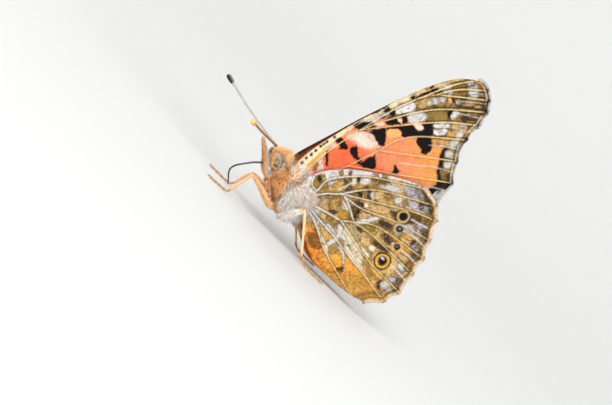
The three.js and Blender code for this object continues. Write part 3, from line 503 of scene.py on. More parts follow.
    ("cell_near", tone(178, 136, 80), 0.2, [(3.7, 0.0), (4.5, 0.8), (5.0, 0.7), (5.1, 0.1), (4.1, -0.2)]),
    ("cell_gold", tone(180, 138, 56), 0.2, [(5.4, 0.4), (6.0, 1.0), (6.8, 0.5), (6.1, 0.1), (5.5, 0.1)]),
    ("cell_net", tone(160, 120, 62), 0.1, [(5.8, 1.6), (5.9, 2.2), (6.7, 2.8), (7.2, 2.6), (7.7, 2.1),
     (7.8, 0.8), (7.1, 0.4), (6.6, 0.7)]),
    ("cell_net_dark", UMBER, 0.1, [(6.8, 0.5), (7.0, 0.9), (7.6, 1.2), (7.9, 0.8), (7.6, 0.4)]),
    ("cell_wedge", PEARL, 0.12, [(7.1, 2.8), (7.6, 2.9), (8.6, 2.5), (9.7, 1.6), (8.6, 2.0), (7.8, 2.3)]),
    ("cell_ochre", tone(168, 124, 42), 0.15, [(8.0, 0.9), (8.1, 1.8), (8.7, 2.1), (9.9, 1.5), (9.3, 1.0),
     (8.5, 0.7)]),
    ("first_blot", tone(112, 90, 36), 0.08, [(6.9, 3.6), (7.4, 4.5), (8.1, 5.2), (8.8, 5.1), (9.0, 4.7),
     (8.3, 4.2), (7.4, 3.6)]),
    ("first_blot_end", BLACK, 0.08, [(7.7, 4.8), (8.1, 5.2), (8.8, 5.1), (9.1, 4.7), (8.6, 4.4),
     (8.5, 4.9), (8.1, 4.9)]),
    ("second_blot", tone(74, 54, 34), 0.08, [(7.6, 3.2), (8.5, 3.9), (9.1, 4.3), (9.7, 4.4), (10.1, 4.0),
     (9.6, 3.6), (8.7, 3.3)]),
    ("second_blot_end", BLACK, 0.08, [(9.0, 4.1), (9.7, 4.4), (10.1, 4.0), (9.6, 3.6), (9.6, 4.1)]),
    ("third_blot", tone(84, 62, 26), 0.08, [(8.7, 3.0), (9.9, 3.6), (10.4, 3.3), (10.4, 2.3), (10.0, 2.1),
     (9.5, 2.6)]),
    ("third_blot_end", BLACK, 0.08, [(9.8, 3.4), (10.4, 3.3), (10.4, 2.3), (10.0, 2.1), (10.0, 2.7)]),
    ("square_olive", tone(136, 106, 46), 0.1, [(8.4, 5.7), (9.1, 6.4), (10.1, 5.4), (9.3, 5.0)]),
    ("square_edge", UMBER, 0.08, [(8.8, 6.1), (9.1, 6.5), (10.1, 5.4), (9.7, 5.2)]),
    ("square_pale", PEARL, 0.1, [(9.3, 6.3), (9.6, 6.6), (10.5, 5.6), (10.2, 5.5)]),
    ("low_olive", tone(138, 110, 40), 0.1, [(11.6, 2.0), (13.3, 3.3), (13.6, 3.1), (13.4, 2.1),
     (12.4, 1.9)]),
    ("low_net", tone(158, 140, 98), 0.2, [(9.8, 0.6), (11.1, 1.6), (12.6, 1.5), (12.9, 0.2),
     (11.1, 0.2)]),
    ("low_net_dark", UMBER, 0.12, [(11.1, 1.4), (11.6, 1.7), (12.6, 1.6), (12.5, 1.2), (11.7, 1.3)]),
    ("near_tan", tone(214, 172, 112), 0.2, [(5.9, -0.5), (6.9, -0.4), (7.3, -1.0), (6.7, -1.0)]),
    ("streaked_lilac", LILAC, 0.2, [(12.1, 10.2), (13.4, 11.0), (14.6, 11.1), (15.2, 10.6), (13.8, 10.0),
     (12.6, 9.7)]),
    ("pale_before_spot", PEARL, 0.15, [(12.3, 7.7), (12.8, 8.7), (13.4, 8.6), (13.4, 7.5), (12.8, 7.4)]),
    ("ochre_spot", tone(150, 108, 50), 0.1, [(13.2, 8.5), (13.8, 9.1), (14.4, 8.5), (13.9, 8.0)]),
    ("lilac_row", LILAC, 0.15, [(14.0, 9.0), (15.1, 9.7), (15.8, 9.3), (15.0, 8.6)]),
    ("dark_row", UMBER, 0.1, [(15.1, 9.9), (15.9, 10.2), (16.7, 9.5), (16.2, 9.2)]),
    ("pale_row", PEARL, 0.15, [(16.1, 10.1), (16.9, 10.3), (17.2, 9.7), (16.8, 9.5)]),
    ("brown_after_eye", tone(86, 60, 26), 0.2, [(15.2, 8.1), (16.6, 8.7), (17.6, 8.4), (17.1, 7.6),
     (16.1, 7.4)]),
    ("dark_between", UMBER, 0.1, [(13.1, 4.2), (13.9, 4.9), (14.9, 4.9), (14.9, 4.4), (13.9, 4.0)]),
    ("dark_below", UMBER, 0.12, [(14.9, 3.4), (15.5, 3.8), (16.5, 3.6), (16.3, 2.9), (15.4, 3.0)]),
    ("gold_below", tone(194, 144, 56), 0.2, [(16.8, 5.2), (17.4, 5.8), (18.7, 5.9), (18.3, 5.2),
     (17.3, 4.9)]),
    ("dark_fleck_one", UMBER, 0.08, [(18.0, 6.3), (18.2, 6.8), (18.7, 6.4), (18.5, 6.1)]),
    ("lilac_after", LILAC, 0.15, [(17.6, 7.1), (18.7, 7.2), (19.4, 6.5), (18.4, 6.6)]),
    ("dark_fleck_two", UMBER, 0.08, [(18.6, 5.1), (18.8, 6.0), (19.3, 5.6), (19.1, 4.8)]),
    ("gold_low", tone(192, 140, 48), 0.2, [(18.2, 4.1), (19.1, 4.6), (19.6, 3.9), (18.6, 3.7)]),
    ("grey_low", LILAC, 0.12, [(19.4, 4.7), (19.6, 5.3), (20.4, 5.0), (19.9, 4.4)]),
    ("pale_low", PEARL, 0.15, [(19.5, 1.7), (19.9, 2.3), (21.0, 2.1), (21.3, 1.7), (20.3, 1.3)]),
    ("brown_low", tone(152, 106, 34), 0.15, [(20.3, 2.7), (21.2, 3.6), (21.7, 2.9), (21.2, 2.2)]),
    ("brown_last", tone(110, 80, 30), 0.15, [(21.1, 0.2), (21.6, 0.9), (22.2, 0.7), (22.1, -0.4)]),
    # Painted light: a golden fan where light shines through the wing from behind
    ("painted_backlight_fan", tone(222, 152, 54), 0.3, [(10.2, -4.9), (12.6, -2.6), (15.9, -2.2), (18.3, -2.7),
     (15.3, -3.7), (12.7, -5.6)]),
    ("net_left", tone(128, 80, 34), 0.15, [(6.9, -3.8), (8.1, -2.7), (9.2, -2.9), (9.8, -4.0),
     (8.8, -4.8)]),
    ("net_mid", tone(150, 120, 60), 0.12, [(9.7, -3.2), (10.4, -2.0), (11.4, -2.2), (11.7, -3.2),
     (10.7, -3.8)]),
    ("fan_pale", tone(206, 192, 158), 0.15, [(9.9, 0.3), (11.3, 0.4), (13.8, -0.2), (15.3, -1.1),
     (14.0, -1.3), (11.5, -0.7)]),
    ("web_one", PEARL, 0.08, [(4.4, -1.3), (8.1, -1.3), (10.8, -1.4), (12.9, -2.3), (14.1, -3.8),
     (12.7, -2.8), (10.6, -1.9), (7.9, -1.7), (4.5, -1.5)]),
    ("web_two", WHITE, 0.1, [(9.2, -0.1), (9.8, 0.3), (10.5, -0.6), (10.8, -1.7), (10.4, -2.8),
     (10.0, -3.6), (9.8, -2.6), (10.2, -1.4)]),
    ("web_three", CREAM, 0.08, [(6.5, -1.5), (7.9, -2.3), (9.6, -3.0), (12.3, -4.4), (12.0, -4.7),
     (9.5, -3.4), (7.8, -2.6)]),
    ("white_fan", CREAM, 0.1, [(11.5, -1.0), (13.2, -1.5), (16.4, -2.0), (16.1, -2.5), (13.5, -2.3)]),
    ("inner_fleck", UMBER, 0.08, [(13.4, -4.5), (14.3, -3.7), (14.5, -4.1), (13.9, -4.7)]),
]


class Paint:
    """Colours of one wing face, laid on point by point."""

    def __init__(self, u, v, ground, seed):
        self.u = u
        self.v = v
        self.colour = np.tile(ground, (len(u), 1))
        self.wobble = 0.14 * mottle(u, v, 0.55, seed) + 0.1 * noise(u, v, 0.16, seed + 5)

    def lay(self, colour, cover):
        self.colour = blend(self.colour, colour, np.clip(cover, 0, 1)[:, None])

    def area(self, colour, soft, outline, strength=1.0, drawn=0.0):
        ring = smooth(outline, 0.45, closed=True)
        depth = depth_in(self.u, self.v, ring) + self.wobble
        self.lay(colour, strength * ease(0.5 + depth / (2 * soft)))
        if drawn:
            self.lay(UMBER, drawn * ease(1 - np.abs(depth) / 0.13))

    def stroke(self, colour, width, soft, line, strength=0.9):
        distance, _ = line_distance(self.u, self.v, smooth(line, 0.5))
        self.lay(colour, strength * ease(0.5 + (width / 2 - distance + 0.4 * self.wobble) / (2 * soft)))

    def ring(self, colour, centre, radii, width, soft, strength=0.95):
        u = (self.u - centre[0]) / radii[0]
        v = (self.v - centre[1]) / radii[1]
        distance = np.abs(np.hypot(u, v) - 1) * min(radii)
        self.lay(colour, strength * ease(0.5 + (width / 2 - distance + 0.3 * self.wobble) / (2 * soft)))

    def spot(self, colour, centre, radii, soft, strength=0.97):
        u = (self.u - centre[0]) / radii[0]
        v = (self.v - centre[1]) / radii[1]
        depth = (1 - np.hypot(u, v)) * min(radii)
        self.lay(colour, strength * ease(0.5 + (depth + 0.3 * self.wobble) / (2 * soft)))


def vein_lines(plan):
    return [smooth(points, 0.4) for points in plan["veins"]]


# The outer part of the forewing, on its under side and on its upper side
TIP_UNDER = [(2.0, 14.6), (4.6, 15.8), (8.2, 18.4), (10.6, 16.9), (12.3, 17.5), (13.4, 15.8), (15.2, 13.6),
             (15.6, 11.6), (18.6, 11.0), (18.5, 15.5), (15.5, 20.0), (15.0, 25.0), (12.5, 28.5), (8.0, 28.5),
             (4.0, 22.6)]
TIP_UPPER = [(2.3, 15.0), (4.6, 15.6), (8.2, 18.2), (10.6, 16.7), (12.3, 17.3), (13.4, 15.6), (15.0, 13.2),
             (15.6, 11.2), (18.6, 11.0), (18.5, 15.5), (15.5, 20.0), (15.0, 25.0), (12.5, 28.5), (8.0, 28.5),
             (3.6, 22.6)]
# Marks of the underside that show on the upper side too
UPPER_WHITES = ("front_bar_white", "rear_bar_white", "tip_white", "upper_lobe", "lower_lobe", "round_white")
UPPER_DARKS = ("cell_bar", "cell_block", "cell_blot", "wedge", "front_black", "band", "leaning_black", "hook",
               "dome", "neck", "corner")


def paint_forewing_under(u, v, margin_distance):
    paint = Paint(u, v, SALMON, 3)
    paint.lay(tone(216, 144, 74), 0.75 * ease((u + v - 21) / 5))
    paint.area(OLIVE, 0.4, TIP_UNDER)
    outer = ease(0.5 + depth_in(u, v, smooth(TIP_UNDER, 0.5, closed=True)) / 0.8)
    paint.lay(UMBER, 0.8 * outer * ease(0.5 + 1.8 * mottle(u, v, 0.8, 8)))
    paint.lay(TAN, 0.3 * outer * ease(0.1 - 1.6 * mottle(u, v, 0.9, 12)))
    paint.lay(BLACK, 0.5 * outer * ease(-0.9 + 3 * noise(u, v, 0.3, 14)))
    for _, colour, soft, outline in FORE_MARKS:
        paint.area(colour, soft, outline)
    paint.lay(UMBER, 0.4 * outer * ease(noise(u, v, 0.34, 17) * 3 - 0.7))
    stripes = noise(0.25 * (u + v), 2.4 * (u - 0.8 * v), 0.6, 16)
    paint.lay(UMBER, 0.75 * outer * ease((np.hypot(u, v) - 24) / 2) * ease(stripes * 4 - 0.6))
    for vein in vein_lines(FOREWING)[1:]:
        distance, _ = line_distance(u, v, vein)
        paint.lay(BLACK, (0.25 + 0.4 * outer) * ease(1 - np.abs(distance - 0.22) / 0.14))
        paint.lay(tone(214, 184, 128), (0.75 + 0.2 * outer) * ease((0.11 - distance) / 0.06))
    for place in COSTAL_TICKS:
        paint.spot(BLACK, place, (0.2, 0.26), 0.1)
    # Painted highlight: a pale line along each crease, where light catches the fold
    for crease in FORE_CREASES:
        paint.stroke(WHITE, 0.13, 0.1, crease, 0.7)
    for end in FOREWING["vein_ends"][1:]:
        paint.spot(BLACK, end, (0.5, 0.44), 0.15, 0.92)
    paint.lay(UMBER, 0.7 * ease(1 - np.abs(margin_distance - 0.62 + 0.6 * paint.wobble) / 0.2))
    rim = ease(1 - np.abs(margin_distance - 0.3) / 0.2)
    paint.lay(CREAM, 0.55 * rim * ease(0.3 + 2 * noise(u, v, 0.9, 15)))
    return paint.colour


def paint_eyespots(paint):
    """The four eyespots of the hindwing, from the front of the wing to the back."""
    paint.spot(UMBER, (15.2, 7.0), (1.15, 1.05), 0.2)
    paint.ring(TAN, (15.15, 7.0), (0.8, 0.8), 0.26, 0.08)
    paint.spot(BLACK, (15.1, 7.0), (0.5, 0.46), 0.1)
    paint.ring(PEARL, (15.95, 5.35), (0.62, 0.6), 0.2, 0.1, 0.6)
    paint.spot(BLACK, (16.1, 5.4), (0.54, 0.5), 0.12)
    paint.spot(tone(96, 110, 132), (16.05, 5.45), (0.22, 0.2), 0.08)
    paint.ring(GOLD, (17.8, 3.35), (0.68, 0.62), 0.26, 0.12, 0.8)
    paint.spot(BLACK, (17.7, 3.4), (0.48, 0.46), 0.12)
    paint.spot(tone(86, 98, 122), (17.65, 3.42), (0.2, 0.18), 0.08)
    paint.spot(PEARL, (16.9, 3.3), (0.16, 0.2), 0.08)
    for colour, half, soft in ((BLACK, (1.3, 1.26), 0.1), (OCHRE, (1.06, 1.03), 0.08),
                               (BROWN, (0.74, 0.72), 0.12)):
        paint.spot(colour, (17.65, 0.6), half, soft)
    paint.spot(BLACK, (17.72, 0.6), (0.56, 0.56), 0.1)
    paint.spot(tone(200, 212, 230), (17.45, 0.86), (0.3, 0.15), 0.08)


def paint_hindwing_under(u, v, margin_distance):
    paint = Paint(u, v, tone(158, 126, 64), 21)
    cloud = mottle(u, v, 1.0, 23)
    paint.lay(BROWN, 0.65 * ease(cloud * 2.6))
    paint.lay(tone(204, 170, 112), 0.75 * ease(-cloud * 2.6))
    # Painted light: a golden field over the inner part of the wing, where light shines through it from behind
    painted_backlight_gold = [(7.5, -2.4), (12.0, -1.4), (18.0, -2.2), (21.8, -3.0), (20.0, -5.6), (16.9, -6.3),
                  (14.0, -6.5), (10.0, -6.3)]
    paint.area(tone(198, 140, 56), 1.0, painted_backlight_gold, 0.7)
    root_glow = [(1.3, -1.0), (1.9, 0.4), (3.5, 1.3), (5.2, 1.3), (6.0, 0.2), (6.2, -1.4), (5.4, -2.2),
                 (4.2, -2.5)]
    paint.area(PEARL, 0.7, root_glow, 0.6)
    for _, colour, soft, outline in HIND_MARKS:
        paint.area(colour, soft, outline, 0.95, 0.55)
    net = ease(1 - np.abs(noise(u, v, 0.62, 33)) / 0.16)
    paint.lay(UMBER, 0.34 * net * ease(0.7 + mottle(u, v, 2.2, 35)))
    fleck = noise(u, v, 0.3, 29) + 0.6 * noise(u, v, 0.17, 31)
    paint.lay(UMBER, 0.38 * ease(fleck * 3 - 1.4))
    paint.lay(CREAM, 0.25 * ease(-fleck * 3 - 1.6))
    rim = ease(1 - np.abs(margin_distance - 1.15 + 0.8 * paint.wobble) / 0.6)
    paint.lay(UMBER, 0.5 * rim)
    # Painted highlight: a white line along each crease, where light catches the fold
    for crease in HIND_CREASES:
        paint.stroke(WHITE, 0.2, 0.1, crease, 0.9)
    far = ease((np.hypot(u - 3, v) - 4) / 6)
    vein_colour = blend(WHITE, tone(214, 184, 124), far[:, None])
    for number, vein in enumerate(vein_lines(HINDWING)):
        distance, _ = line_distance(u, v, vein)
        width = (0.1 - 0.04 * far) if number else 0.08
        paint.lay(UMBER, 0.5 * ease(1 - np.abs(distance - width - 0.12) / 0.14))
        paint.lay(vein_colour, 0.95 * ease(0.5 + (width - distance + 0.25 * paint.wobble) / 0.1))
    paint_eyespots(paint)
    paint.lay(UMBER, 0.8 * ease(1 - np.abs(margin_distance - 0.5 + 0.4 * paint.wobble) / 0.2))
    paint.lay(tone(214, 180, 130), 0.8 * ease(1 - margin_distance / 0.26))
    return paint.colour


def paint_forewing_upper(u, v, margin_distance):
    paint = Paint(u, v, tone(222, 118, 52), 41)
    root = 1.2 - np.hypot(u - 1, v) / 4.5 + 0.2 * mottle(u, v, 0.8, 43)
    paint.lay(tone(120, 82, 46), 0.9 * ease(root))
    paint.area(UMBER * 0.5, 0.3, TIP_UPPER)
    paint.stroke(UMBER, 1.0, 0.25, FOREWING["costa"][:5])
    for name, _, _, outline in FORE_MARKS:
        if name in UPPER_WHITES:
            paint.area(WHITE, 0.15, outline)
        if name in UPPER_DARKS:
            paint.area(UMBER * 0.4, 0.3, outline)
    paint.lay(UMBER, 0.6 * ease(1 - margin_distance / 0.8))
    return paint.colour


def paint_hindwing_upper(u, v, margin_distance):
    paint = Paint(u, v, tone(224, 124, 56), 51)
    root = 1.15 - np.hypot(u - 3, v - 0.5) / 7.5 + 0.2 * mottle(u, v, 0.9, 53)
    paint.lay(tone(122, 84, 48), 0.92 * ease(root))
    for centre in ((15.2, 7.0), (16.1, 5.2), (17.7, 3.3), (17.7, 0.6), (17.4, -1.9)):
        paint.spot(UMBER * 0.5, centre, (0.75, 0.7), 0.15)
    for centre in ((18.9, 8.0), (20.0, 5.9), (20.9, 3.4), (21.4, 0.7), (20.9, -2.2)):
        paint.spot(UMBER * 0.5, centre, (0.6, 0.8), 0.2)
    paint.stroke(UMBER * 0.6, 0.9, 0.25, [(7.5, 7.2), (9.4, 4.6), (10.4, 2.6)])
    paint.lay(UMBER * 0.7, 0.85 * ease(1 - np.abs(margin_distance - 0.5) / 0.45))
    return paint.colour


# Meshes

def in_scene(name, data):
    """A new object in the scene for a mesh, a light, a camera or a curve."""
    made = bpy.data.objects.new(name, data)
    bpy.context.scene.collection.objects.link(made)
    return made


def add_piece(name, points, faces, material, colours=None, patches=None):
    """A mesh from millimetres, with its paint and its places on the unwrap where it has them."""
    mesh = bpy.data.meshes.new(name)
    mesh.from_pydata(np.asarray(points) * MM, [], faces)
    mesh.polygons.foreach_set("use_smooth", np.ones(len(mesh.polygons), bool))
    if colours is not None:
        layer = mesh.color_attributes.new("paint", "FLOAT_COLOR", "POINT")
        layer.data.foreach_set("color", np.hstack([colours, np.ones((len(colours), 1))]).ravel())
    if patches is not None:
        corners = np.zeros(len(mesh.loops), int)
        mesh.loops.foreach_get("vertex_index", corners)
        unwrap = mesh.uv_layers.new(name="OFBake")
        unwrap.data.foreach_set("uv", patches[corners].ravel())
    mesh.materials.append(material)
    mesh.update()
    return in_scene(name, mesh)


def settle(piece, *nodes, slot):
    """Sets a piece on the one body, in place of the nodes that are named; the slot is not used."""
    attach(piece, "root")
    if nodes:
        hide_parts(*nodes)


def to_right(points):
    return points * np.array([-1, 1, 1])


def wing_to_right(points):
    """A left wing's points on the right side, turned back a little about the root."""
    out = to_right(points)
    y = out[:, 1] - WING_ROOT[0]
    z = out[:, 2] - WING_ROOT[1]
    out[:, 1] = WING_ROOT[0] + y * math.cos(RIGHT_LAG) + z * math.sin(RIGHT_LAG)
    out[:, 2] = WING_ROOT[1] - y * math.sin(RIGHT_LAG) + z * math.cos(RIGHT_LAG)
    return out


def mirrored(part, move=to_right):
    """A left part on the right side, its faces turned over so that they still point outwards."""
    points, faces, *rest = part
    return (move(points), [face[::-1] for face in faces], *rest)


def on_wing(out, u, v):
    """Places on the left wing from how far out they stand and from where they are on the plan."""
    return np.column_stack([out, WING_ROOT[0] + u, WING_ROOT[1] + v])


def wing_relief(u, v, plan, creases, margin_distance):
    """Outward lift of the membrane: veins stand up, cells sag, and creases fold inwards."""
    vein = np.full(u.shape, 1e9)
    for line in vein_lines(plan):
        distance, _ = line_distance(u, v, line)
        vein = np.minimum(vein, distance)
    lift = 0.07 * np.exp(-((vein / 0.13) ** 2)) - 0.13 * (1 - np.exp(-((vein / 0.9) ** 2)))
    for line in creases:
        distance, share = line_distance(u, v, smooth(line, 0.5))
        lift += 0.16 * ease(share * 1.6) * np.exp(-distance / 0.28)
    return lift + 0.05 * noise(u, v, 3.1, 61) * ease(margin_distance / 2)


def wing_net(edge, spacing):
    """Points and triangles that fill a wing's outline, nearly all of them equal-sided."""
    row_step = spacing * 0.866
    low = edge.min(axis=0)
    high = edge.max(axis=0)
    rows = int((high[1] - low[1]) / row_step) + 1
    columns = int((high[0] - low[0]) / spacing) + 2
    v, u = np.meshgrid(np.arange(rows) * row_step + low[1], np.arange(columns) * spacing + low[0],
                       indexing="ij")
    u = u + (np.arange(rows)[:, None] % 2) * spacing / 2
    u = u.ravel()
    v = v.ravel()
    near = depth_in(u, v, edge[::4]) > -0.1
    u = u[near]
    v = v[near]
    keep = depth_in(u, v, edge) > 0.5 * spacing
    flat = np.vstack([edge, np.column_stack([u[keep], v[keep]])])
    rim = [(k, (k + 1) % len(edge)) for k in range(len(edge))]
    flat, _, faces, _, _, _ = delaunay_2d_cdt([Vector(point) for point in flat], rim, [], 1, 1e-5, False)
    flat = np.array([tuple(point) for point in flat])
    faces = np.array(faces)
    centres = flat[faces].mean(axis=1)
    faces = faces[inside(centres[:, 0], centres[:, 1], edge)]
    a, b, c = (flat[faces[:, k]] for k in range(3))
    turned = (b[:, 0] - a[:, 0]) * (c[:, 1] - a[:, 1]) - (b[:, 1] - a[:, 1]) * (c[:, 0] - a[:, 0]) < 0
    faces[turned] = faces[turned][:, ::-1]
    return flat, faces


def build_wing(name, plan, creases, place, shift, paint_under, paint_upper, material):
    """Both wings of a pair. Each is one thin closed sheet with a painted outer and inner face."""
    spacing = 0.115
    half_sheet = 0.045
    edge, margin = wing_edge(plan, spacing)
    flat, faces = wing_net(edge, spacing)
    count = len(flat)
    u, v = flat.T
    margin_distance, _ = line_distance(u, v, margin[::2])
    middle = place(u, v) + shift + wing_relief(u, v, plan, creases, margin_distance)
    points = np.vstack([on_wing(middle + half_sheet, u, v), on_wing(middle - half_sheet, u, v)])
    directed = np.vstack([faces[:, [0, 1]], faces[:, [1, 2]], faces[:, [2, 0]]])
    _, first, uses = np.unique(np.sort(directed, axis=1), axis=0, return_index=True, return_counts=True)
    border = directed[first[uses == 1]]
    walls = np.column_stack([border[:, 1], border[:, 0], border[:, 0] + count, border[:, 1] + count])
    sheet = (points, faces.tolist() + (faces[:, ::-1] + count).tolist() + walls.tolist())
    colours = np.vstack([paint_under(u, v, margin_distance), paint_upper(u, v, margin_distance)])
    for side_name, wing in (("_left", sheet), ("_right", mirrored(sheet, wing_to_right))):
        piece = add_piece(name + side_name + "_scales", *wing, material, colours)
        settle(piece, name + side_name, slot=name + "_scales")


# Shader maths

class Value:
    """A socket that takes part in Python arithmetic by adding Math nodes."""

    def __init__(self, shader, socket):
        self.shader = shader
        self.socket = socket

    def _with(self, operation, first, second):
        return self.shader.node("ShaderNodeMath", {"operation": operation}, [first, second])

    def __add__(self, other):
        return self._with("ADD", self, other)

    def __radd__(self, other):
        return self._with("ADD", other, self)

    def __sub__(self, other):
        return self._with("SUBTRACT", self, other)

    def __rsub__(self, other):
        return self._with("SUBTRACT", other, self)

    def __mul__(self, other):
        return self._with("MULTIPLY", self, other)

    def __rmul__(self, other):
        return self._with("MULTIPLY", other, self)


class Shader:
    """One material's node tree, ending in a Principled shader."""

    def __init__(self, name, **constants):
        self.material = bpy.data.materials.new(name)
        self.material.use_nodes = True
        self.tree = self.material.node_tree
        self.surface = self.tree.nodes["Principled BSDF"]
        for key, value in constants.items():
            self.surface.inputs[key.replace("_", " ").title().replace("Ior", "IOR")].default_value = value

    def node(self, kind, settings=None, inputs=(), output=0):
        made = self.tree.nodes.new(kind)
        for key, value in (settings or {}).items():
            setattr(made, key, value)
        pairs = inputs.items() if isinstance(inputs, dict) else enumerate(inputs)
        for key, value in pairs:
            if isinstance(value, Value):
                self.tree.links.new(value.socket, made.inputs[key])
            elif value is not None:
                made.inputs[key].default_value = value
        return Value(self, made.outputs[output])

    def place(self):
        return self.node("ShaderNodeTexCoord", output="Object")

    def paint(self):
        return self.node("ShaderNodeAttribute", {"attribute_name": "paint"}, output="Color")

    def grain(self, scale, detail=2.0, squash=(1, 1, 1)):
        stretched = self.node("ShaderNodeMapping", inputs={"Vector": self.place(), "Scale": squash})
        sockets = {"Vector": stretched, "Scale": scale, "Detail": detail}
        return self.node("ShaderNodeTexNoise", inputs=sockets)

    def remap(self, value, low, high, start=0.3, end=0.7):
        """Carries the range from start to end over to the range from low to high."""
        sockets = {"Value": value, "From Min": start, "From Max": end, "To Min": low, "To Max": high}
        return self.node("ShaderNodeMapRange", inputs=sockets)

    def mix(self, share, first, second, blend="MIX"):
        made = self.tree.nodes.new("ShaderNodeMix")
        made.data_type = "RGBA"
        made.blend_type = blend
        factor, colour_one, colour_two = made.inputs[0], made.inputs[6], made.inputs[7]
        for socket, value in ((factor, share), (colour_one, first), (colour_two, second)):
            if isinstance(value, Value):
                self.tree.links.new(value.socket, socket)
            elif isinstance(value, (int, float)):
                socket.default_value = value
            else:
                socket.default_value = (*value, 1)
        return Value(self, made.outputs[2])

    def set(self, **sockets):
        """Links values to the surface's own sockets, which are named in small letters."""
        for key, value in sockets.items():
            self.tree.links.new(value.socket, self.surface.inputs[key.replace("_", " ").title()])

    def tint(self, colour, gain):
        """The base colour is this one, made darker or lighter by the gain."""
        grey = self.node("ShaderNodeCombineColor", inputs=[gain, gain, gain])
        self.set(base_color=self.mix(1.0, colour, grey, "MULTIPLY"))

    def bump(self, height, strength, distance):
        sockets = {"Strength": strength, "Distance": distance, "Height": height}
        self.set(normal=self.node("ShaderNodeBump", inputs=sockets))


# Finishes. The scale of a noise pattern is the number of its cells in a metre

def wing_scale_finish(name, cloud_scale):
    shader = Shader(name, roughness=0.7, sheen_weight=0.03, sheen_roughness=0.5, specular_ior_level=0.12)
    fine = shader.grain(9000, 1.0, (1, 1, 0.35))
    broad = shader.grain(cloud_scale, 3.0)
    shader.tint(shader.paint(), shader.remap(fine, 0.72, 1.22) * shader.remap(broad, 0.88, 1.1))
    shader.set(roughness=0.6 + 0.3 * fine)
    shader.bump(fine, 0.35, 0.00004)
    return shader.material


def hair_finish(name, gloss):
    shader = Shader(name, sheen_weight=0.35, sheen_roughness=0.4, specular_ior_level=0.35)
    fine = shader.grain(3000, 1.0)
    shader.tint(shader.paint(), shader.remap(fine, 0.9, 1.25))
    shader.set(roughness=gloss + 0.25 * fine)
    return shader.material


def skin_finish():
    shader = Shader("hide_under_hair", roughness=0.8)
    broad = shader.grain(900, 4.0)
    shader.set(base_color=shader.mix(broad, tuple(UMBER * 0.8), tuple(BROWN)))
    shader.bump(shader.grain(5000, 2.0), 0.5, 0.00008)
    return shader.material


def eye_finish():
    shader = Shader("faceted_eye", specular_ior_level=0.5, coat_roughness=0.25)
    facets = shader.node("ShaderNodeTexVoronoi", inputs={"Vector": shader.place(), "Scale": 16000})
    cloud = shader.grain(2600, 2.0)
    blotch = shader.remap(cloud, 0.0, 1.0, 0.5, 0.62)
    base = shader.mix(blotch, tuple(tone(178, 158, 92)), tuple(tone(78, 66, 36)))
    shader.tint(base, shader.remap(facets, 1.0, 0.6, 0.0, 0.6))
    shader.set(roughness=0.22 + 0.15 * cloud)
    shader.set(coat_weight=0.5 - 0.2 * cloud)
    shader.bump(1 - facets, 0.5, 0.00003)
    return shader.material


def scaled_limb_finish(name, gloss):
    shader = Shader(name, specular_ior_level=0.4)
    fine = shader.grain(7000, 2.0)
    shader.tint(shader.paint(), shader.remap(fine, 0.68, 1.25))
    shader.set(roughness=gloss + 0.2 * fine)
    shader.bump(fine, 0.4, 0.00004)
    return shader.material


# Body forms

def sweep(line, stations, sides, colour_at=None):
    """A closed tube along a smooth line. A station is a share of the length and two half widths."""
    path = smooth(line, 0.05)
    lengths = np.concatenate([[0], np.cumsum(np.linalg.norm(np.diff(path, axis=0), axis=1))])
    shares = lengths / lengths[-1]
    points = []
    colours = []
    for share, wide, high in stations:
        centre = np.array([np.interp(share, shares, path[:, k]) for k in range(3)])
        ahead = np.array([np.interp(min(share + 0.01, 1), shares, path[:, k]) for k in range(3)])
        behind = np.array([np.interp(max(share - 0.01, 0), shares, path[:, k]) for k in range(3)])
        along = (ahead - behind) / np.linalg.norm(ahead - behind)
        across = np.array([1.0, 0, 0]) - along * along[0]
        across /= np.linalg.norm(across)
        upward = np.cross(along, across)
        for side in range(sides):
            turn = 2 * math.pi * (side + 0.5) / sides
            points.append(centre + across * wide * math.cos(turn) + upward * high * math.sin(turn))
            colours.append(colour_at(share, turn) if colour_at else TAN)
    rings = len(stations)
    faces = []
    for ring in range(rings - 1):
        for side in range(sides):
            after = (side + 1) % sides
            low = ring * sides
            faces.append([low + side, low + after, low + sides + after, low + sides + side])
    faces.append(list(range(sides))[::-1])
    faces.append([(rings - 1) * sides + side for side in range(sides)])
    return np.array(points), faces, np.array(colours)


def stations_through(given, count):
    """Evenly spaced stations on the smooth curve through a few given ones."""
    fine = smooth(given, 0.01)
    out = []
    for share in np.linspace(0, 1, count):
        wide, high = (max(0.02, np.interp(share, fine[:, 0], fine[:, k])) for k in (1, 2))
        out.append((share, wide, high))
    return out


def joined(parts):
    """Several parts as one."""
    points = []
    faces = []
    colours = []
    start = 0
    for part_points, part_faces, part_colours in parts:
        points.append(part_points)
        faces += [[index + start for index in face] for face in part_faces]
        colours.append(part_colours)
        start += len(part_points)
    return np.vstack(points), faces, np.vstack(colours)


def ball(centre, half, rings=16, sides=24):
    points = []
    for ring in range(1, rings):
        fall = math.pi * ring / rings
        for side in range(sides):
            turn = 2 * math.pi * side / sides
            points.append([half[0] * math.sin(fall) * math.cos(turn),
                           half[1] * math.sin(fall) * math.sin(turn), half[2] * math.cos(fall)])
    points += [[0, 0, half[2]], [0, 0, -half[2]]]
    points = np.array(points) + np.array(centre)
    top = len(points) - 2
    faces = []
    for side in range(sides):
        after = (side + 1) % sides
        faces.append([top, side, after])
        faces.append([top + 1, (rings - 2) * sides + after, (rings - 2) * sides + side])
        for ring in range(rings - 2):
            low = ring * sides
            faces.append([low + side, low + sides + side, low + sides + after, low + after])
    return points, faces, np.tile(TAN, (len(points), 1))


def from_head(points):
    """Points of the upright head, leant forward and put in its place."""
    points = np.atleast_2d(np.array(points, float))
    y = points[:, 1] * math.cos(HEAD_TILT) - points[:, 2] * math.sin(HEAD_TILT)
    z = points[:, 1] * math.sin(HEAD_TILT) + points[:, 2] * math.cos(HEAD_TILT)
    return np.column_stack([points[:, 0], y, z]) + np.array(HEAD_PLACE)


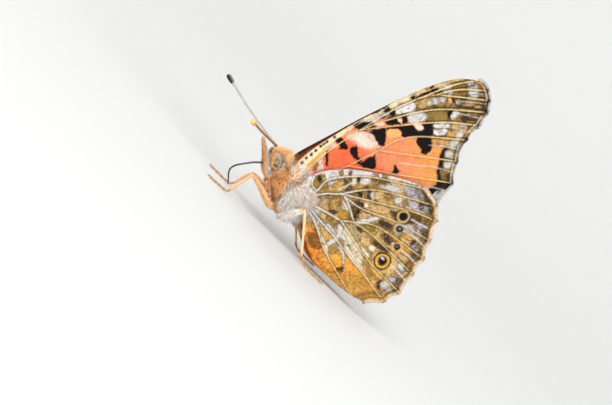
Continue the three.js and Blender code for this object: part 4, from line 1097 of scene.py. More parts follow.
THORAX_LINE = [(0, -5.2, 6.95), (0, -4, 6.5), (0, -2.6, 6), (0, -1, 5.4), (0, 1, 4.75)]
THORAX_STATIONS = [(0, 1.05, 1.3), (0.04, 1.5, 1.75), (0.16, 2.05, 2.25), (0.32, 2.35, 2.65),
                   (0.48, 2.5, 2.85), (0.65, 2.4, 2.7), (0.82, 2, 2.15), (0.95, 1.5, 1.6),
                   (1, 1.05, 1.15)]
ABDOMEN_LINE = [(0, 0.4, 4.75), (0, 1.35, 4.6), (0, 4.2, 4.3), (0, 8.2, 3.9), (0, 14.2, 3.4)]
ABDOMEN_STATIONS = [(0, 1.2, 1.3), (0.1, 1.5, 1.65), (0.25, 1.75, 2), (0.48, 1.7, 1.9), (0.72, 1.35, 1.5),
                    (0.91, 0.85, 0.9), (1, 0.4, 0.4)]
FORELEG = [(0.65, -3.95, 2.8), (0.85, -4.7, 3.25), (0.8, -5.4, 4.0), (0.65, -5.85, 4.75)]
HIPS = [
    [(1.2, -2.2, 3.6), (1.35, -2.35, 3.2), (1.75, -3.3, 2.75), (1.85, -3.6, 2.72)],
    [(-1.2, -2.2, 3.6), (-1.35, -2.35, 3.2), (-1.8, -3.1, 2.75), (-1.95, -3.3, 2.74)],
    [(1.2, -0.4, 3.2), (1.35, -0.6, 2.85), (1.75, -1.3, 2.6), (1.9, -1.5, 2.65)],
    [(-1.2, -0.4, 3.2), (-1.35, -0.6, 2.85), (-1.75, -1.3, 2.6), (-1.9, -1.5, 2.65)],
]


def body_skin(material):
    """One skin over the head, neck, thorax, abdomen, hips and folded forelegs, a little inside the solids."""
    coat = 0.22

    def slim(stations, count):
        return [(share, max(0.15, wide - coat), max(0.15, high - coat))
                for share, wide, high in stations_through(stations, count)]

    parts = [sweep(THORAX_LINE, slim(THORAX_STATIONS, 24), 28)]
    parts.append(sweep(ABDOMEN_LINE, slim(ABDOMEN_STATIONS, 40), 24))
    skull = ball((0, 0.3, 0), (1.35 - coat, 1.05 - coat * 0.6, 1.78 - coat))
    parts.append((from_head(skull[0]), skull[1], skull[2]))
    neck = [(0, -6.6, 7.25), (0, -5.6, 7.05), (0, -4.6, 6.75)]
    parts.append(sweep(neck, [(0, 0.7, 0.9), (0.5, 0.85, 1.05), (1, 0.9, 1.2)], 20))
    limb = [(0, 0.2, 0.2), (0.06, 0.27, 0.27), (0.9, 0.22, 0.22), (1, 0.12, 0.12)]
    foreleg = sweep(FORELEG, limb, 12)
    parts += [foreleg, mirrored(foreleg)]
    for hip in HIPS:
        parts.append(sweep(hip, [(0, 0.42, 0.42), (0.5, 0.34, 0.34), (1, 0.24, 0.24)], 14))
    points, faces, _ = joined(parts)
    rough = add_piece("body_rough", points / MM, faces, material)
    remesh = rough.modifiers.new("one_skin", "REMESH")
    remesh.mode = "VOXEL"
    remesh.voxel_size = 0.13
    soften = rough.modifiers.new("soften", "SMOOTH")
    soften.iterations = 4
    mesh = bpy.data.meshes.new_from_object(rough.evaluated_get(bpy.context.evaluated_depsgraph_get()))
    bpy.data.objects.remove(rough)
    places = np.zeros(len(mesh.vertices) * 3)
    mesh.vertices.foreach_get("co", places)
    mesh.vertices.foreach_set("co", places * MM)
    mesh.polygons.foreach_set("use_smooth", np.ones(len(mesh.polygons), bool))
    mesh.name = "body_hide"
    return in_scene("body_hide", mesh)


# Coat: every tuft is a small curved spike with a patch of its own on the unwrap

def skin_samples(piece, per_square_mm, seed):
    """Points spread over a piece's surface in millimetres, with the way each one faces."""
    mesh = piece.data
    mesh.calc_loop_triangles()
    corners = np.zeros(len(mesh.loop_triangles) * 3, int)
    mesh.loop_triangles.foreach_get("vertices", corners)
    places = np.zeros(len(mesh.vertices) * 3)
    mesh.vertices.foreach_get("co", places)
    places = places.reshape(-1, 3) / MM
    a, b, c = (places[corners.reshape(-1, 3)[:, k]] for k in range(3))
    normal = np.cross(b - a, c - a)
    size = np.linalg.norm(normal, axis=1)
    random = np.random.RandomState(seed)
    count = int(size.sum() / 2 * per_square_mm)
    chosen = random.choice(len(size), count, p=size / size.sum())
    s = np.sqrt(random.rand(count, 1))
    t = random.rand(count, 1)
    points = a[chosen] * (1 - s) + b[chosen] * s * (1 - t) + c[chosen] * s * t
    return points, normal[chosen] / size[chosen][:, None]


def unit(vectors):
    return vectors / np.maximum(np.linalg.norm(vectors, axis=1), 1e-9)[:, None]


def tufts(roots, normals, flow, length, width, root_colour, tip_colour, unwrap, seed, lift=0.32, stray=0.24):
    """Points, faces, colours and unwrap of many spikes that lie along the flow."""
    random = np.random.RandomState(seed)
    count = len(roots)
    flow = flow - normals * np.sum(flow * normals, axis=1)[:, None]
    flow = unit(flow + stray * random.randn(count, 3))
    rise = (lift * (0.6 + 0.8 * random.rand(count)))[:, None]
    length = (length * (0.7 + 0.6 * random.rand(count)))[:, None]
    width = (width * (0.75 + 0.5 * random.rand(count)))[:, None]
    start = roots - normals * 0.08
    middle = start + unit(flow + normals * rise * 2.2) * length * 0.5
    tip = middle + unit(flow + normals * rise * 0.3 + 0.12 * random.randn(count, 3)) * length * 0.5
    across = unit(np.cross(flow, normals))
    outward = unit(np.cross(across, flow))
    corners = []
    for centre, reach in ((start, 0.8), (middle, 1.0)):
        for turn in (90, 210, 330):
            angle = math.radians(turn)
            aside = across * math.cos(angle) + outward * math.sin(angle)
            corners.append(centre + aside * width * reach / 2)
    corners.append(tip)
    points = np.stack(corners, axis=1).reshape(-1, 3)
    pattern = [(0, 1, 4, 3), (1, 2, 5, 4), (2, 0, 3, 5), (3, 4, 6), (4, 5, 6), (5, 3, 6)]
    offsets = np.arange(count) * len(corners)
    faces = []
    for face in pattern:
        faces += (offsets[:, None] + np.array(face)).tolist()
    shade = (0.76 + 0.42 * random.rand(count))[:, None]
    root = root_colour * shade
    end = tip_colour * shade
    between = root * 0.45 + end * 0.55
    colours = np.stack([root, root, root, between, between, between, end], axis=1).reshape(-1, 3)
    patch = np.array([(0, 0.0015), (-0.0013, -0.00075), (0.0013, -0.00075), (0, 0.0008),
                      (-0.0007, -0.0004), (0.0007, -0.0004), (0, 0)])
    patches = (unwrap[:, None, :] + patch[None]).reshape(-1, 2)
    return points, faces, colours, patches


def round_unwrap(roots):
    """A place on the unwrap: round the body and along it."""
    y = roots[:, 1]
    middle = np.interp(y, [-9, -7, -5, -2.6, 1, 14], [7.3, 7.3, 6.9, 6.0, 4.75, 3.4])
    turn = np.arctan2(roots[:, 2] - middle, roots[:, 0]) / (2 * math.pi) + 0.5
    along = (y + 9.5) / 24.5
    return np.column_stack([0.01 + 0.98 * turn, 0.01 + 0.98 * np.clip(along, 0, 1)])


def coat_piece(name, parts, material, slot):
    points, faces, colours, patches = [], [], [], []
    start = 0
    for part in parts:
        points.append(part[0])
        faces += [[index + start for index in face] for face in part[1]] if start else part[1]
        colours.append(part[2])
        patches.append(part[3])
        start += len(part[0])
    piece = add_piece(name, np.vstack(points), faces, material, np.vstack(colours), np.vstack(patches))
    settle(piece, slot=slot)


# Each coat gives the hair's flow, length, width, root and tip colours, and how far it lifts

def head_coat(side, upright_y, upright_z):
    """Short on the face, longer on the nape, and white behind each eye."""
    face = ease((-upright_y - 0.1) / 0.8)[:, None]
    nape = ease((upright_y - 0.25) / 0.4) * ease((upright_z + 0.2) / 0.6)
    white = (ease(1 - np.abs(side - 1.15) / 0.35) * ease((upright_y - 0.15) / 0.3))[:, None]
    flow = blend(np.array([0.0, 0.35, 0.5]), np.array([0.0, -0.5, 0.6]), face)
    flow = blend(flow, np.array([0.0, 1.0, -0.05]), nape[:, None])
    length = 1.1 - 0.55 * face[:, 0] + 1.0 * nape
    width = 0.065 - 0.015 * face[:, 0]
    root = blend(tone(236, 172, 106), CREAM, white)
    tip = blend(tone(255, 212, 152), WHITE, white)
    return flow, length, width, root, tip, 0.3 + 0.4 * nape


def thorax_coat(side, y, z, wobble):
    """Tan on the back, a golden collar in front, long white hair on the sides and rust below."""
    sidewall = ease((side - 0.9) / 0.7)[:, None] * ease((7.6 - z) / 1.2)[:, None]
    front = ease((-3.9 - y - 0.25 * (z - 6.0) + wobble) / 0.6)[:, None]
    seam = ease(1 - np.abs(y + 4.0 + 0.25 * (z - 6.0)) / 0.45)[:, None] * sidewall
    under = ease((4.2 - z) / 0.8)[:, None]
    collar = front[:, 0] * ease((z - 6.9) / 0.8)
    seam_colour = tone(120, 74, 38)
    flow = np.tile([0.0, 1.0, 0.1], (len(y), 1)) - sidewall * np.array([0.0, 0.25, 0.85])
    length = (1.15 + 0.9 * sidewall[:, 0] + 1.3 * collar) * (1 - 0.45 * seam[:, 0])
    root = blend(TAN, tone(255, 248, 236), sidewall)
    root = blend(blend(root, tone(222, 152, 84), front), seam_colour, 0.7 * seam)
    tip = blend(tone(196, 152, 98), tone(255, 253, 250), sidewall)
    tip = blend(blend(tip, tone(250, 186, 116), front), seam_colour, 0.75 * seam)
    tip = blend(tip, tone(222, 146, 80), under)
    return flow, length, np.full(len(y), 0.08), root, tip, 0.25 + 0.45 * collar


def abdomen_coat(y, z):
    """Short brown hair, pale at the rings' edges and cream below."""
    ring = ease(np.cos((y - 1.2) * 2 * math.pi / 1.6) * 2 - 0.6)[:, None]
    under = ease((3.9 - 0.1 * y - z) / 0.6)[:, None]
    count = len(y)
    flow = np.tile([0.0, 1.0, -0.15], (count, 1))
    root = np.tile(tone(236, 172, 106), (count, 1))
    tip = blend(blend(tone(150, 108, 62), tone(196, 164, 118), ring), CREAM * 0.85, under)
    return flow, np.full(count, 0.55), np.full(count, 0.075), root, tip, 0.3


def limb_coat(y):
    """Hair of the hips, hanging down, and of the folded forelegs, combed up along them."""
    folded = ease((-4.0 - y) / 0.5)[:, None]
    count = len(y)
    flow = blend(np.tile([0.0, -0.3, -0.8], (count, 1)), np.array([0.0, -0.6, 0.7]), folded)
    root = np.tile(tone(236, 172, 106), (count, 1))
    tip = blend(tone(232, 160, 90), CREAM, 0.4 * folded)
    return flow, np.full(count, 0.6), np.full(count, 0.07), root, tip, 0.3


def body_coat(hide, material):
    roots, normals = skin_samples(hide, 105, 7)
    x, y, z = roots.T
    side = np.abs(x)
    unwrap = round_unwrap(roots)
    behind = y - HEAD_PLACE[1]
    above = z - HEAD_PLACE[2]
    upright_y = behind * math.cos(HEAD_TILT) + above * math.sin(HEAD_TILT)
    upright_z = above * math.cos(HEAD_TILT) - behind * math.sin(HEAD_TILT)
    from_eye = (((side - EYE_PLACE[0]) / 0.8) ** 2 + ((upright_y - EYE_PLACE[1]) / 0.8) ** 2
                + ((upright_z - EYE_PLACE[2]) / 1.2) ** 2)
    on_eye = (from_eye < 1) & (y < -5)
    in_head = (y < -5.75) & (z > 5.2)
    in_abdomen = y > 1.2
    in_limb = (z < 3.5) & (y < 0.4) | (y < -3.6) & (z < 5.2)
    wobble = 0.5 * noise(y, z + side, 0.9, 71)
    zones = [
        ("head", "tan_hair", in_head & ~on_eye, head_coat, (side, upright_y, upright_z)),
        ("thorax", "pale_hair", ~(in_head | in_abdomen | in_limb), thorax_coat, (side, y, z, wobble)),
        ("abdomen", "tan_hair", in_abdomen, abdomen_coat, (y, z)),
        ("limb", "tan_hair", in_limb & ~in_head, limb_coat, (y,)),
    ]
    for zone, slot, chosen, coat, places in zones:
        flow, length, width, root, tip, lift = coat(*(place[chosen] for place in places))
        seed = 80 + len(flow) % 7
        made = tufts(roots[chosen], normals[chosen], flow, length, width, root, tip, unwrap[chosen], seed,
                     lift)
        coat_piece(zone + "_hair", [made], material, slot)


def wing_fringe(name, plan, place, shift, dark_reach, dark, pale, material, seed):
    """Two rows of fine scales along the outer margin, dark at the ends of the veins and pale in between."""
    _, margin = wing_edge(plan, 0.016)
    random = np.random.RandomState(seed)
    ahead = unit(np.gradient(margin, axis=0))
    outward = np.column_stack([-ahead[:, 1], ahead[:, 0]])
    middle = margin.mean(axis=0)
    outward *= np.sign(np.sum(outward * (margin - middle), axis=1))[:, None]
    flat = margin - outward * (0.1 + 0.1 * random.rand(len(margin), 1))
    u, v = flat.T
    ends = np.array(plan["vein_ends"][1:])
    reach = np.min(np.linalg.norm(margin[:, None] - ends[None], axis=2), axis=1)
    cover = ease((dark_reach - reach + 0.1 * random.randn(len(reach))) / 0.2)[:, None]
    tip = blend(pale, dark, cover)
    share = np.linspace(0, 1, len(margin))
    flow = np.column_stack([np.zeros(len(u)), outward])
    length = np.full(len(u), 0.5)
    width = np.full(len(u), 0.05)
    for side_name in ("left", "right"):
        made = []
        for row, face in enumerate((1, -1)):
            roots = on_wing(place(u, v) + shift - 0.1 + 0.03 * face, u, v)
            normals = np.tile([float(face), 0, 0], (len(u), 1))
            unwrap = np.column_stack([0.01 + 0.98 * share, np.full(len(u), 0.3 + 0.4 * row)])
            spikes = tufts(roots, normals, flow, length, width, tip * 0.8, tip, unwrap, seed + row, 0.05,
                           0.12)
            made.append(mirrored(spikes, wing_to_right) if side_name == "right" else spikes)
        coat_piece(name + "_" + side_name + "_fringe", made, material, name + "_scales")


def wing_root_hair(name, place, shift, centre, reach, count, flow_from, material, seed):
    """Long pale hair over the root of a wing, combed away from the body."""
    random = np.random.RandomState(seed)
    radius = reach * np.sqrt(random.rand(count))
    turn = 2 * math.pi * random.rand(count)
    u = centre[0] + radius * np.cos(turn)
    v = centre[1] + radius * np.sin(turn) * 0.8
    roots = on_wing(place(u, v) + shift - 0.02, u, v)
    flow = unit(np.column_stack([np.zeros(count), u - flow_from[0], v - flow_from[1]]))
    normals = np.tile([1.0, 0, 0], (count, 1))
    unwrap = 0.5 + 0.48 * (np.column_stack([u, v]) - centre) / reach
    length = 1.9 - 0.7 * radius / reach
    golden = (random.rand(count) < 0.22)[:, None]
    tip = np.where(golden, tone(224, 184, 128), tone(255, 251, 248))
    root = np.where(golden, tone(184, 140, 86), tone(236, 222, 204))
    spikes = tufts(roots, normals, flow, length, np.full(count, 0.06), root, tip, unwrap, seed, 0.12, 0.14)
    coat_piece(name + "_left_root_hair", [spikes], material, name + "_scales")
    coat_piece(name + "_right_root_hair", [mirrored(spikes, wing_to_right)], material, name + "_scales")


def eye_ring(material):
    """Short hair standing over the rim of each eye, whiter behind."""
    random = np.random.RandomState(95)
    count = 560
    turn = 2 * math.pi * random.rand(count)
    rim = 0.9 + 0.25 * random.rand(count)
    upright = np.column_stack([EYE_PLACE[0] + (1.15 - rim),
                               EYE_PLACE[1] + EYE_HALF[1] * rim * np.cos(turn),
                               EYE_PLACE[2] + EYE_HALF[2] * rim * np.sin(turn)])
    outward = np.column_stack([np.full(count, 0.8), np.cos(turn), np.sin(turn)])
    above = ease(2 * np.sin(turn) - 0.4)
    ahead = np.column_stack([0.55 + 0.4 * above, -np.cos(turn), -np.sin(turn)])
    roots = from_head(upright)
    normals = unit(from_head(upright + outward) - roots)
    flow = from_head(upright + ahead) - roots
    behind = ease(0.5 + np.cos(turn))[:, None]
    tip = blend(tone(250, 192, 124), WHITE, behind)
    unwrap = np.column_stack([0.01 + 0.98 * turn / (2 * math.pi), 0.1 + 3 * (rim - 0.9)])
    length = 0.62 + 0.4 * above
    width = np.full(count, 0.05)
    spikes = tufts(roots, normals, flow, length, width, tip * 0.9, tip, unwrap, 96, 0.3, 0.2)
    coat_piece("eye_left_ring", [spikes], material, "tan_hair")
    coat_piece("eye_right_ring", [mirrored(spikes)], material, "tan_hair")


# Stage, light and camera

# Each light: its place and size in metres, and its power in watts
LIGHTS = [
    ("key", (0.42, -0.34, 0.62), 0.45, 2.75),
    ("fill", (0.44, 0.2, 0.16), 0.4, 1.1),
    ("front", (0.52, -0.26, 0.1), 0.35, 1.3),
    ("back", (-0.5, 0.2, 0.55), 0.5, 1.2),
]


def studio_floor():
    """A round pale floor that curves up into a wall all round."""
    rings = [(150, 0), (300, 0), (430, 4), (520, 30), (600, 90), (650, 180), (680, 300), (690, 450)]
    sides = 96
    points = [[0.0, 0.0, 0.0]]
    for radius, height in rings:
        for side in range(sides):
            turn = 2 * math.pi * side / sides
            points.append([radius * math.cos(turn), radius * math.sin(turn), height])
    faces = [[0, 1 + side, 1 + (side + 1) % sides] for side in range(sides)]
    for ring in range(len(rings) - 1):
        for side in range(sides):
            low = 1 + ring * sides
            after = (side + 1) % sides
            faces.append([low + side, low + sides + side, low + sides + after, low + after])
    shader = Shader("pale_backdrop", roughness=0.9)
    cloud = shader.grain(2.0, 2.0)
    shader.set(base_color=shader.mix(cloud, (0.70, 0.70, 0.68), (0.76, 0.76, 0.74)))
    add_piece("studio_floor", points, faces, shader.material)


def studio_light():
    world = bpy.data.worlds.new("studio")
    world.use_nodes = True
    background = world.node_tree.nodes["Background"]
    background.inputs["Color"].default_value = (0.94, 0.96, 1.0, 1)
    background.inputs["Strength"].default_value = 0.62
    bpy.context.scene.world = world
    middle = Vector((0, 0, 0.012))
    for name, place, size, power in LIGHTS:
        light = bpy.data.lights.new(name, "AREA")
        light.shape = "DISK"
        light.size = size
        light.energy = power
        lamp = in_scene(name, light)
        lamp.location = place
        lamp.rotation_euler = (middle - Vector(place)).to_track_quat("-Z", "Y").to_euler()


def photo_camera():
    """The photograph's view: from the left and a little ahead, with the camera rolled."""
    azimuth = math.radians(20)
    rise = math.radians(5)
    roll = math.radians(46)
    distance = 400 * MM
    target = Vector((0, 0.44, 6.17)) * MM
    towards = Vector((math.cos(azimuth) * math.cos(rise), -math.sin(azimuth) * math.cos(rise),
                      math.sin(rise)))
    level = Vector((math.sin(azimuth), math.cos(azimuth), 0))
    upright = towards.cross(level)
    right = math.cos(roll) * level + math.sin(roll) * upright
    up = -math.sin(roll) * level + math.cos(roll) * upright
    data = bpy.data.cameras.new("photo_view")
    data.sensor_width = 36
    data.lens = 171.76
    data.clip_start = 0.01
    data.clip_end = 10
    camera = in_scene("photo_view", data)
    turn = Matrix((right, up, towards)).transposed().to_4x4()
    camera.matrix_world = Matrix.Translation(target + towards * distance) @ turn
    bpy.context.scene.camera = camera


# Small parts

ANTENNA_BANDS = 30


def antenna_colours(near):
    """Bands along the shaft, and a darker club with a pale underside and a golden end."""
    def colour_at(share, turn):
        band = 0.5 + 0.5 * math.cos(share * 2 * math.pi * ANTENNA_BANDS)
        if share > 0.86:
            if share > 0.975:
                return tone(236, 200, 120)
            under = max(0.0, math.sin(turn))
            dark = OCHRE if near else BLACK * 1.2
            return blend(dark, PEARL, 0.6 * under)
        pale = tone(158, 116, 60) if near else tone(196, 190, 184)
        return pale * (0.7 + 0.3 * band)
    return colour_at


def antenna(name, line, near, material):
    shaft = 0.19
    club = 0.4
    stations = []
    for step in range(241):
        share = step / 240
        half = shaft * (0.95 + 0.05 * math.cos(share * 2 * math.pi * ANTENNA_BANDS))
        half *= 1.0 + 0.45 * float(ease((0.03 - share) / 0.03))
        half += (club - shaft) * float(ease((share - 0.83) / 0.08))
        half *= math.sqrt(max(0.02, 1 - max(0.0, (share - 0.955) / 0.045) ** 2))
        stations.append((share, half, half * 0.92))
    points, faces, colours = sweep(line, stations, 14, antenna_colours(near))
    settle(add_piece(name + "_shaft", points, faces, material, colours), name, slot="antenna")


LEGS = {
    "leg_mid_left": {
        "thigh": [(1.9, -3.75, 2.7), (2.7, -6.5, 3.55), (3.45, -8.7, 4.1)],
        "shin": [(3.45, -8.7, 4.1), (3.6, -9.1, 3.95), (4.15, -9.65, 2.1), (4.6, -10.05, 0.75)],
        "foot": [(4.6, -10.05, 0.75), (4.65, -10.3, 0.34), (4.8, -10.9, 0.22), (5.0, -12.2, 0.2),
                 (5.3, -13.8, 0.2)],
    },
    "leg_mid_right": {
        "thigh": [(-2.05, -3.4, 2.75), (-3.3, -4.9, 3.4), (-4.5, -6.15, 3.65)],
        "shin": [(-4.5, -6.15, 3.65), (-4.65, -6.45, 3.4), (-4.7, -6.95, 2.1), (-4.7, -7.3, 0.75)],
        "foot": [(-4.7, -7.3, 0.75), (-4.75, -7.6, 0.34), (-4.85, -8.2, 0.22), (-5.0, -9.6, 0.2),
                 (-5.3, -11.2, 0.2)],
    },
    "leg_hind_left": {
        "thigh": [(2.0, -1.6, 2.75), (3.0, -1.1, 4.1), (4.0, -0.5, 5.5)],
        "shin": [(4.0, -0.5, 5.5), (4.1, -0.15, 5.5), (4.15, 1.8, 3.4), (4.4, 3.9, 0.95)],
        "foot": [(4.4, 3.9, 0.95), (4.45, 4.2, 0.65), (4.5, 5.0, 0.3), (4.6, 6.2, 0.2), (4.85, 8.6, 0.2)],
    },
    "leg_hind_right": {
        "thigh": [(-2.0, -1.55, 2.75), (-3.0, -0.7, 4.0), (-3.95, 0.3, 5.1)],
        "shin": [(-3.95, 0.3, 5.1), (-4.0, 0.7, 5.05), (-4.1, 2.9, 2.95), (-4.2, 5.1, 0.9)],
        "foot": [(-4.2, 5.1, 0.9), (-4.25, 5.4, 0.62), (-4.3, 6.1, 0.3), (-4.4, 7.2, 0.2), (-4.6, 9.6, 0.2)],
    },
}


THIGH_STATIONS = [(0, 0.2, 0.2), (0.1, 0.24, 0.26), (0.5, 0.27, 0.3), (0.9, 0.2, 0.23), (1, 0.16, 0.16)]
SHIN_STATIONS = [(0, 0.18, 0.18), (0.08, 0.21, 0.22), (0.6, 0.17, 0.18), (0.95, 0.17, 0.17), (1, 0.12, 0.12)]
CLAW_STATIONS = [(0, 0.05, 0.05), (0.5, 0.045, 0.045), (1, 0.012, 0.012)]
FOOT_JOINTS = 5


def leg(name, lines, material):
    hind = "hind" in name
    # Painted highlight: each leg is given a lighter colour on its upper side, where light falls on it,
    # blended round to a deeper one below
    top = tone(244, 220, 178) if hind else tone(246, 196, 140)
    low = tone(226, 176, 112) if hind else tone(232, 138, 70)

    def pale(share, turn):
        return blend(low, top, 0.5 + 0.5 * math.sin(turn))

    def thigh_tone(share, turn):
        if not hind:
            return pale(share, turn)
        near = 1 - float(ease((share - 0.7) / 0.3))
        return blend(pale(share, turn), tone(238, 226, 208), near)

    def foot_tone(share, turn):
        joint = 0.5 + 0.5 * math.cos(share * 2 * math.pi * FOOT_JOINTS)
        return tone(204, 148, 92) * (0.75 + 0.25 * joint)

    thigh = sweep(lines["thigh"], stations_through(THIGH_STATIONS, 30), 16, thigh_tone)
    shin = sweep(lines["shin"], stations_through(SHIN_STATIONS, 30), 14, pale)
    segments = []
    for step in range(61):
        share = step / 60
        swell = abs(math.sin(share * math.pi * FOOT_JOINTS)) ** 0.5
        half = (0.11 + 0.05 * swell) * (1 - 0.15 * share)
        segments.append((share, half, half))
    foot = sweep(lines["foot"], segments, 12, foot_tone)
    parts = [thigh, shin, foot]
    toe = np.array(lines["foot"][-1])
    before = np.array(lines["foot"][-2])
    ahead = (toe - before) / np.linalg.norm(toe - before)
    for side in (-1, 1):
        aside = np.array([0.12 * side, 0, 0])
        claw = [toe - ahead * 0.05, toe + ahead * 0.12 + aside + [0, 0, 0.05],
                toe + ahead * 0.2 + aside + [0, 0, -0.12]]
        parts.append(sweep(claw, CLAW_STATIONS, 8, lambda share, turn: UMBER))
    points, faces, colours = joined(parts)
    points[:, 2] = np.maximum(points[:, 2], 0.0)
    piece = add_piece(name, points, faces, material, colours)
    settle(piece, name + "_thigh", name + "_shin", name + "_foot", slot="leg")


def thigh_hair(name, line, material, seed):
    """Long hair over a thigh, combed back and down like the hair of the chest beside it."""
    random = np.random.RandomState(seed)
    count = 620
    path = smooth(line, 0.02)
    share = 0.9 * random.rand(count) ** 1.3
    place = (share * (len(path) - 2)).astype(int)
    centre = path[place]
    ahead = unit(path[place + 1] - centre)
    turn = 2 * math.pi * random.rand(count)
    across = unit(np.cross(ahead, [0.0, 0.0, 1.0]))
    over = np.cross(across, ahead)
    normals = across * np.cos(turn)[:, None] + over * np.sin(turn)[:, None]
    flow = 0.5 * ahead + np.array([0.0, 0.7, -0.6])
    hind = "hind" in name
    root = np.tile(tone(255, 246, 232) if hind else tone(236, 180, 116), (count, 1))
    tip = np.tile(tone(255, 253, 250) if hind else tone(255, 214, 158), (count, 1))
    unwrap = np.column_stack([0.02 + 0.96 * turn / (2 * math.pi), 0.02 + 0.96 * share])
    length = (1.15 if hind else 0.7) * (1 - 0.5 * share)
    width = np.full(count, 0.07)
    made = tufts(centre + normals * 0.2, normals, flow, length, width, root, tip, unwrap, seed)
    coat_piece(name + "_thigh_hair", [made], material, "pale_hair" if hind else "tan_hair")


def spine_finish():
    shader = Shader("leg_spines", specular_ior_level=0.4)
    grain = shader.grain(4000, 2.0)
    shader.set(base_color=shader.mix(grain, tuple(RUST), tuple(UMBER)))
    shader.set(roughness=0.35 + 0.3 * grain)
    return shader.material


def spine_tree(material):
    """Geometry Nodes: leaning spines set round a line at even steps."""
    tree = bpy.data.node_groups.new("spines_on_a_limb", "GeometryNodeTree")
    tree.interface.new_socket("Line", in_out="INPUT", socket_type="NodeSocketGeometry")
    for label, kind, value in (("Spines", "NodeSocketInt", 40), ("Length", "NodeSocketFloat", 0.0005),
                               ("Thickness", "NodeSocketFloat", 0.00004), ("Seed", "NodeSocketInt", 1)):
        tree.interface.new_socket(label, in_out="INPUT", socket_type=kind).default_value = value
    tree.interface.new_socket("Spines on it", in_out="OUTPUT", socket_type="NodeSocketGeometry")

    def node(kind, **settings):
        made = tree.nodes.new(kind)
        for key, value in settings.items():
            setattr(made, key, value)
        return made

    def join(start, end):
        tree.links.new(start, end)

    given = node("NodeGroupInput")
    result = node("NodeGroupOutput")
    steps = node("GeometryNodeResampleCurve", mode="COUNT")
    join(given.outputs["Line"], steps.inputs["Curve"])
    join(given.outputs["Spines"], steps.inputs["Count"])
    cone = node("GeometryNodeMeshCone")
    cone.inputs["Vertices"].default_value = 5
    cone.inputs["Radius Top"].default_value = 0.0
    join(given.outputs["Thickness"], cone.inputs["Radius Bottom"])
    join(given.outputs["Length"], cone.inputs["Depth"])
    tangent = node("GeometryNodeInputTangent")
    ahead = node("FunctionNodeAlignRotationToVector", axis="Z")
    join(tangent.outputs["Tangent"], ahead.inputs["Vector"])
    roll = node("FunctionNodeRandomValue", data_type="FLOAT")
    roll.inputs[2].default_value = 0.0
    roll.inputs[3].default_value = 2 * math.pi
    join(given.outputs["Seed"], roll.inputs["Seed"])
    lean = node("FunctionNodeRandomValue", data_type="FLOAT")
    lean.inputs[2].default_value = 0.35
    lean.inputs[3].default_value = 0.8
    more = node("FunctionNodeIntegerMath", operation="ADD")
    more.inputs[1].default_value = 5
    join(given.outputs["Seed"], more.inputs[0])
    join(more.outputs[0], lean.inputs["Seed"])
    turned = ahead.outputs["Rotation"]
    for axis, angle in (("Z", roll), ("X", lean)):
        parts = node("ShaderNodeCombineXYZ")
        join(angle.outputs[1], parts.inputs[axis])
        euler = node("FunctionNodeEulerToRotation")
        join(parts.outputs[0], euler.inputs[0])
        turn = node("FunctionNodeRotateRotation", rotation_space="LOCAL")
        join(turned, turn.inputs["Rotation"])
        join(euler.outputs[0], turn.inputs["Rotate By"])
        turned = turn.outputs["Rotation"]
    place = node("GeometryNodeInstanceOnPoints")
    join(steps.outputs["Curve"], place.inputs["Points"])
    join(cone.outputs["Mesh"], place.inputs["Instance"])
    join(turned, place.inputs["Rotation"])
    real = node("GeometryNodeRealizeInstances")
    join(place.outputs["Instances"], real.inputs["Geometry"])
    finish = node("GeometryNodeSetMaterial")
    finish.inputs["Material"].default_value = material
    join(real.outputs["Geometry"], finish.inputs["Geometry"])
    join(finish.outputs["Geometry"], result.inputs[0])
    return tree


def spines(name, line, tree, material, count, length, seed):
    curve = bpy.data.curves.new(name, "CURVE")
    curve.dimensions = "3D"
    spline = curve.splines.new("POLY")
    path = smooth(line, 0.2) * MM
    spline.points.add(len(path) - 1)
    for point, place in zip(spline.points, path):
        point.co = (*place, 1)
    guide = in_scene(name + "_guide", curve)
    grown = guide.modifiers.new("spines", "NODES")
    grown.node_group = tree
    values = {"Spines": count, "Length": length * MM, "Thickness": 0.03 * MM, "Seed": seed}
    for item in tree.interface.items_tree:
        if item.name in values:
            grown[item.identifier] = values[item.name]
    mesh = bpy.data.meshes.new_from_object(guide.evaluated_get(bpy.context.evaluated_depsgraph_get()))
    bpy.data.objects.remove(guide)
    mesh.name = name
    mesh.materials.clear()
    mesh.materials.append(material)
    settle(in_scene(name, mesh), slot="leg")


def eye(side_name, material):
    """A dome that bulges outwards and is nearly flat on its inner side."""
    points, faces, _ = ball((0, 0, 0), (1, 1, 1), 28, 40)
    points[:, 0] *= np.where(points[:, 0] > 0, EYE_HALF[0], 0.3)
    points = from_head(points * np.array([1, EYE_HALF[1], EYE_HALF[2]]) + np.array(EYE_PLACE))
    dome = mirrored((points, faces)) if side_name == "right" else (points, faces)
    settle(add_piece("eye_" + side_name + "_dome", *dome, material), "eye_" + side_name, slot="eye")


PALP_LINE = [(0.55, -0.45, -2.1), (0.8, -1.1, -1.85), (0.88, -1.38, -0.9), (0.87, -1.4, 0.3),
             (0.62, -1.68, 1.7), (0.4, -2.0, 2.95)]
PALP_STATIONS = [(0, 0.12, 0.13), (0.05, 0.2, 0.22), (0.3, 0.24, 0.28), (0.6, 0.23, 0.27), (0.85, 0.19, 0.2),
                 (0.97, 0.11, 0.12), (1, 0.05, 0.05)]


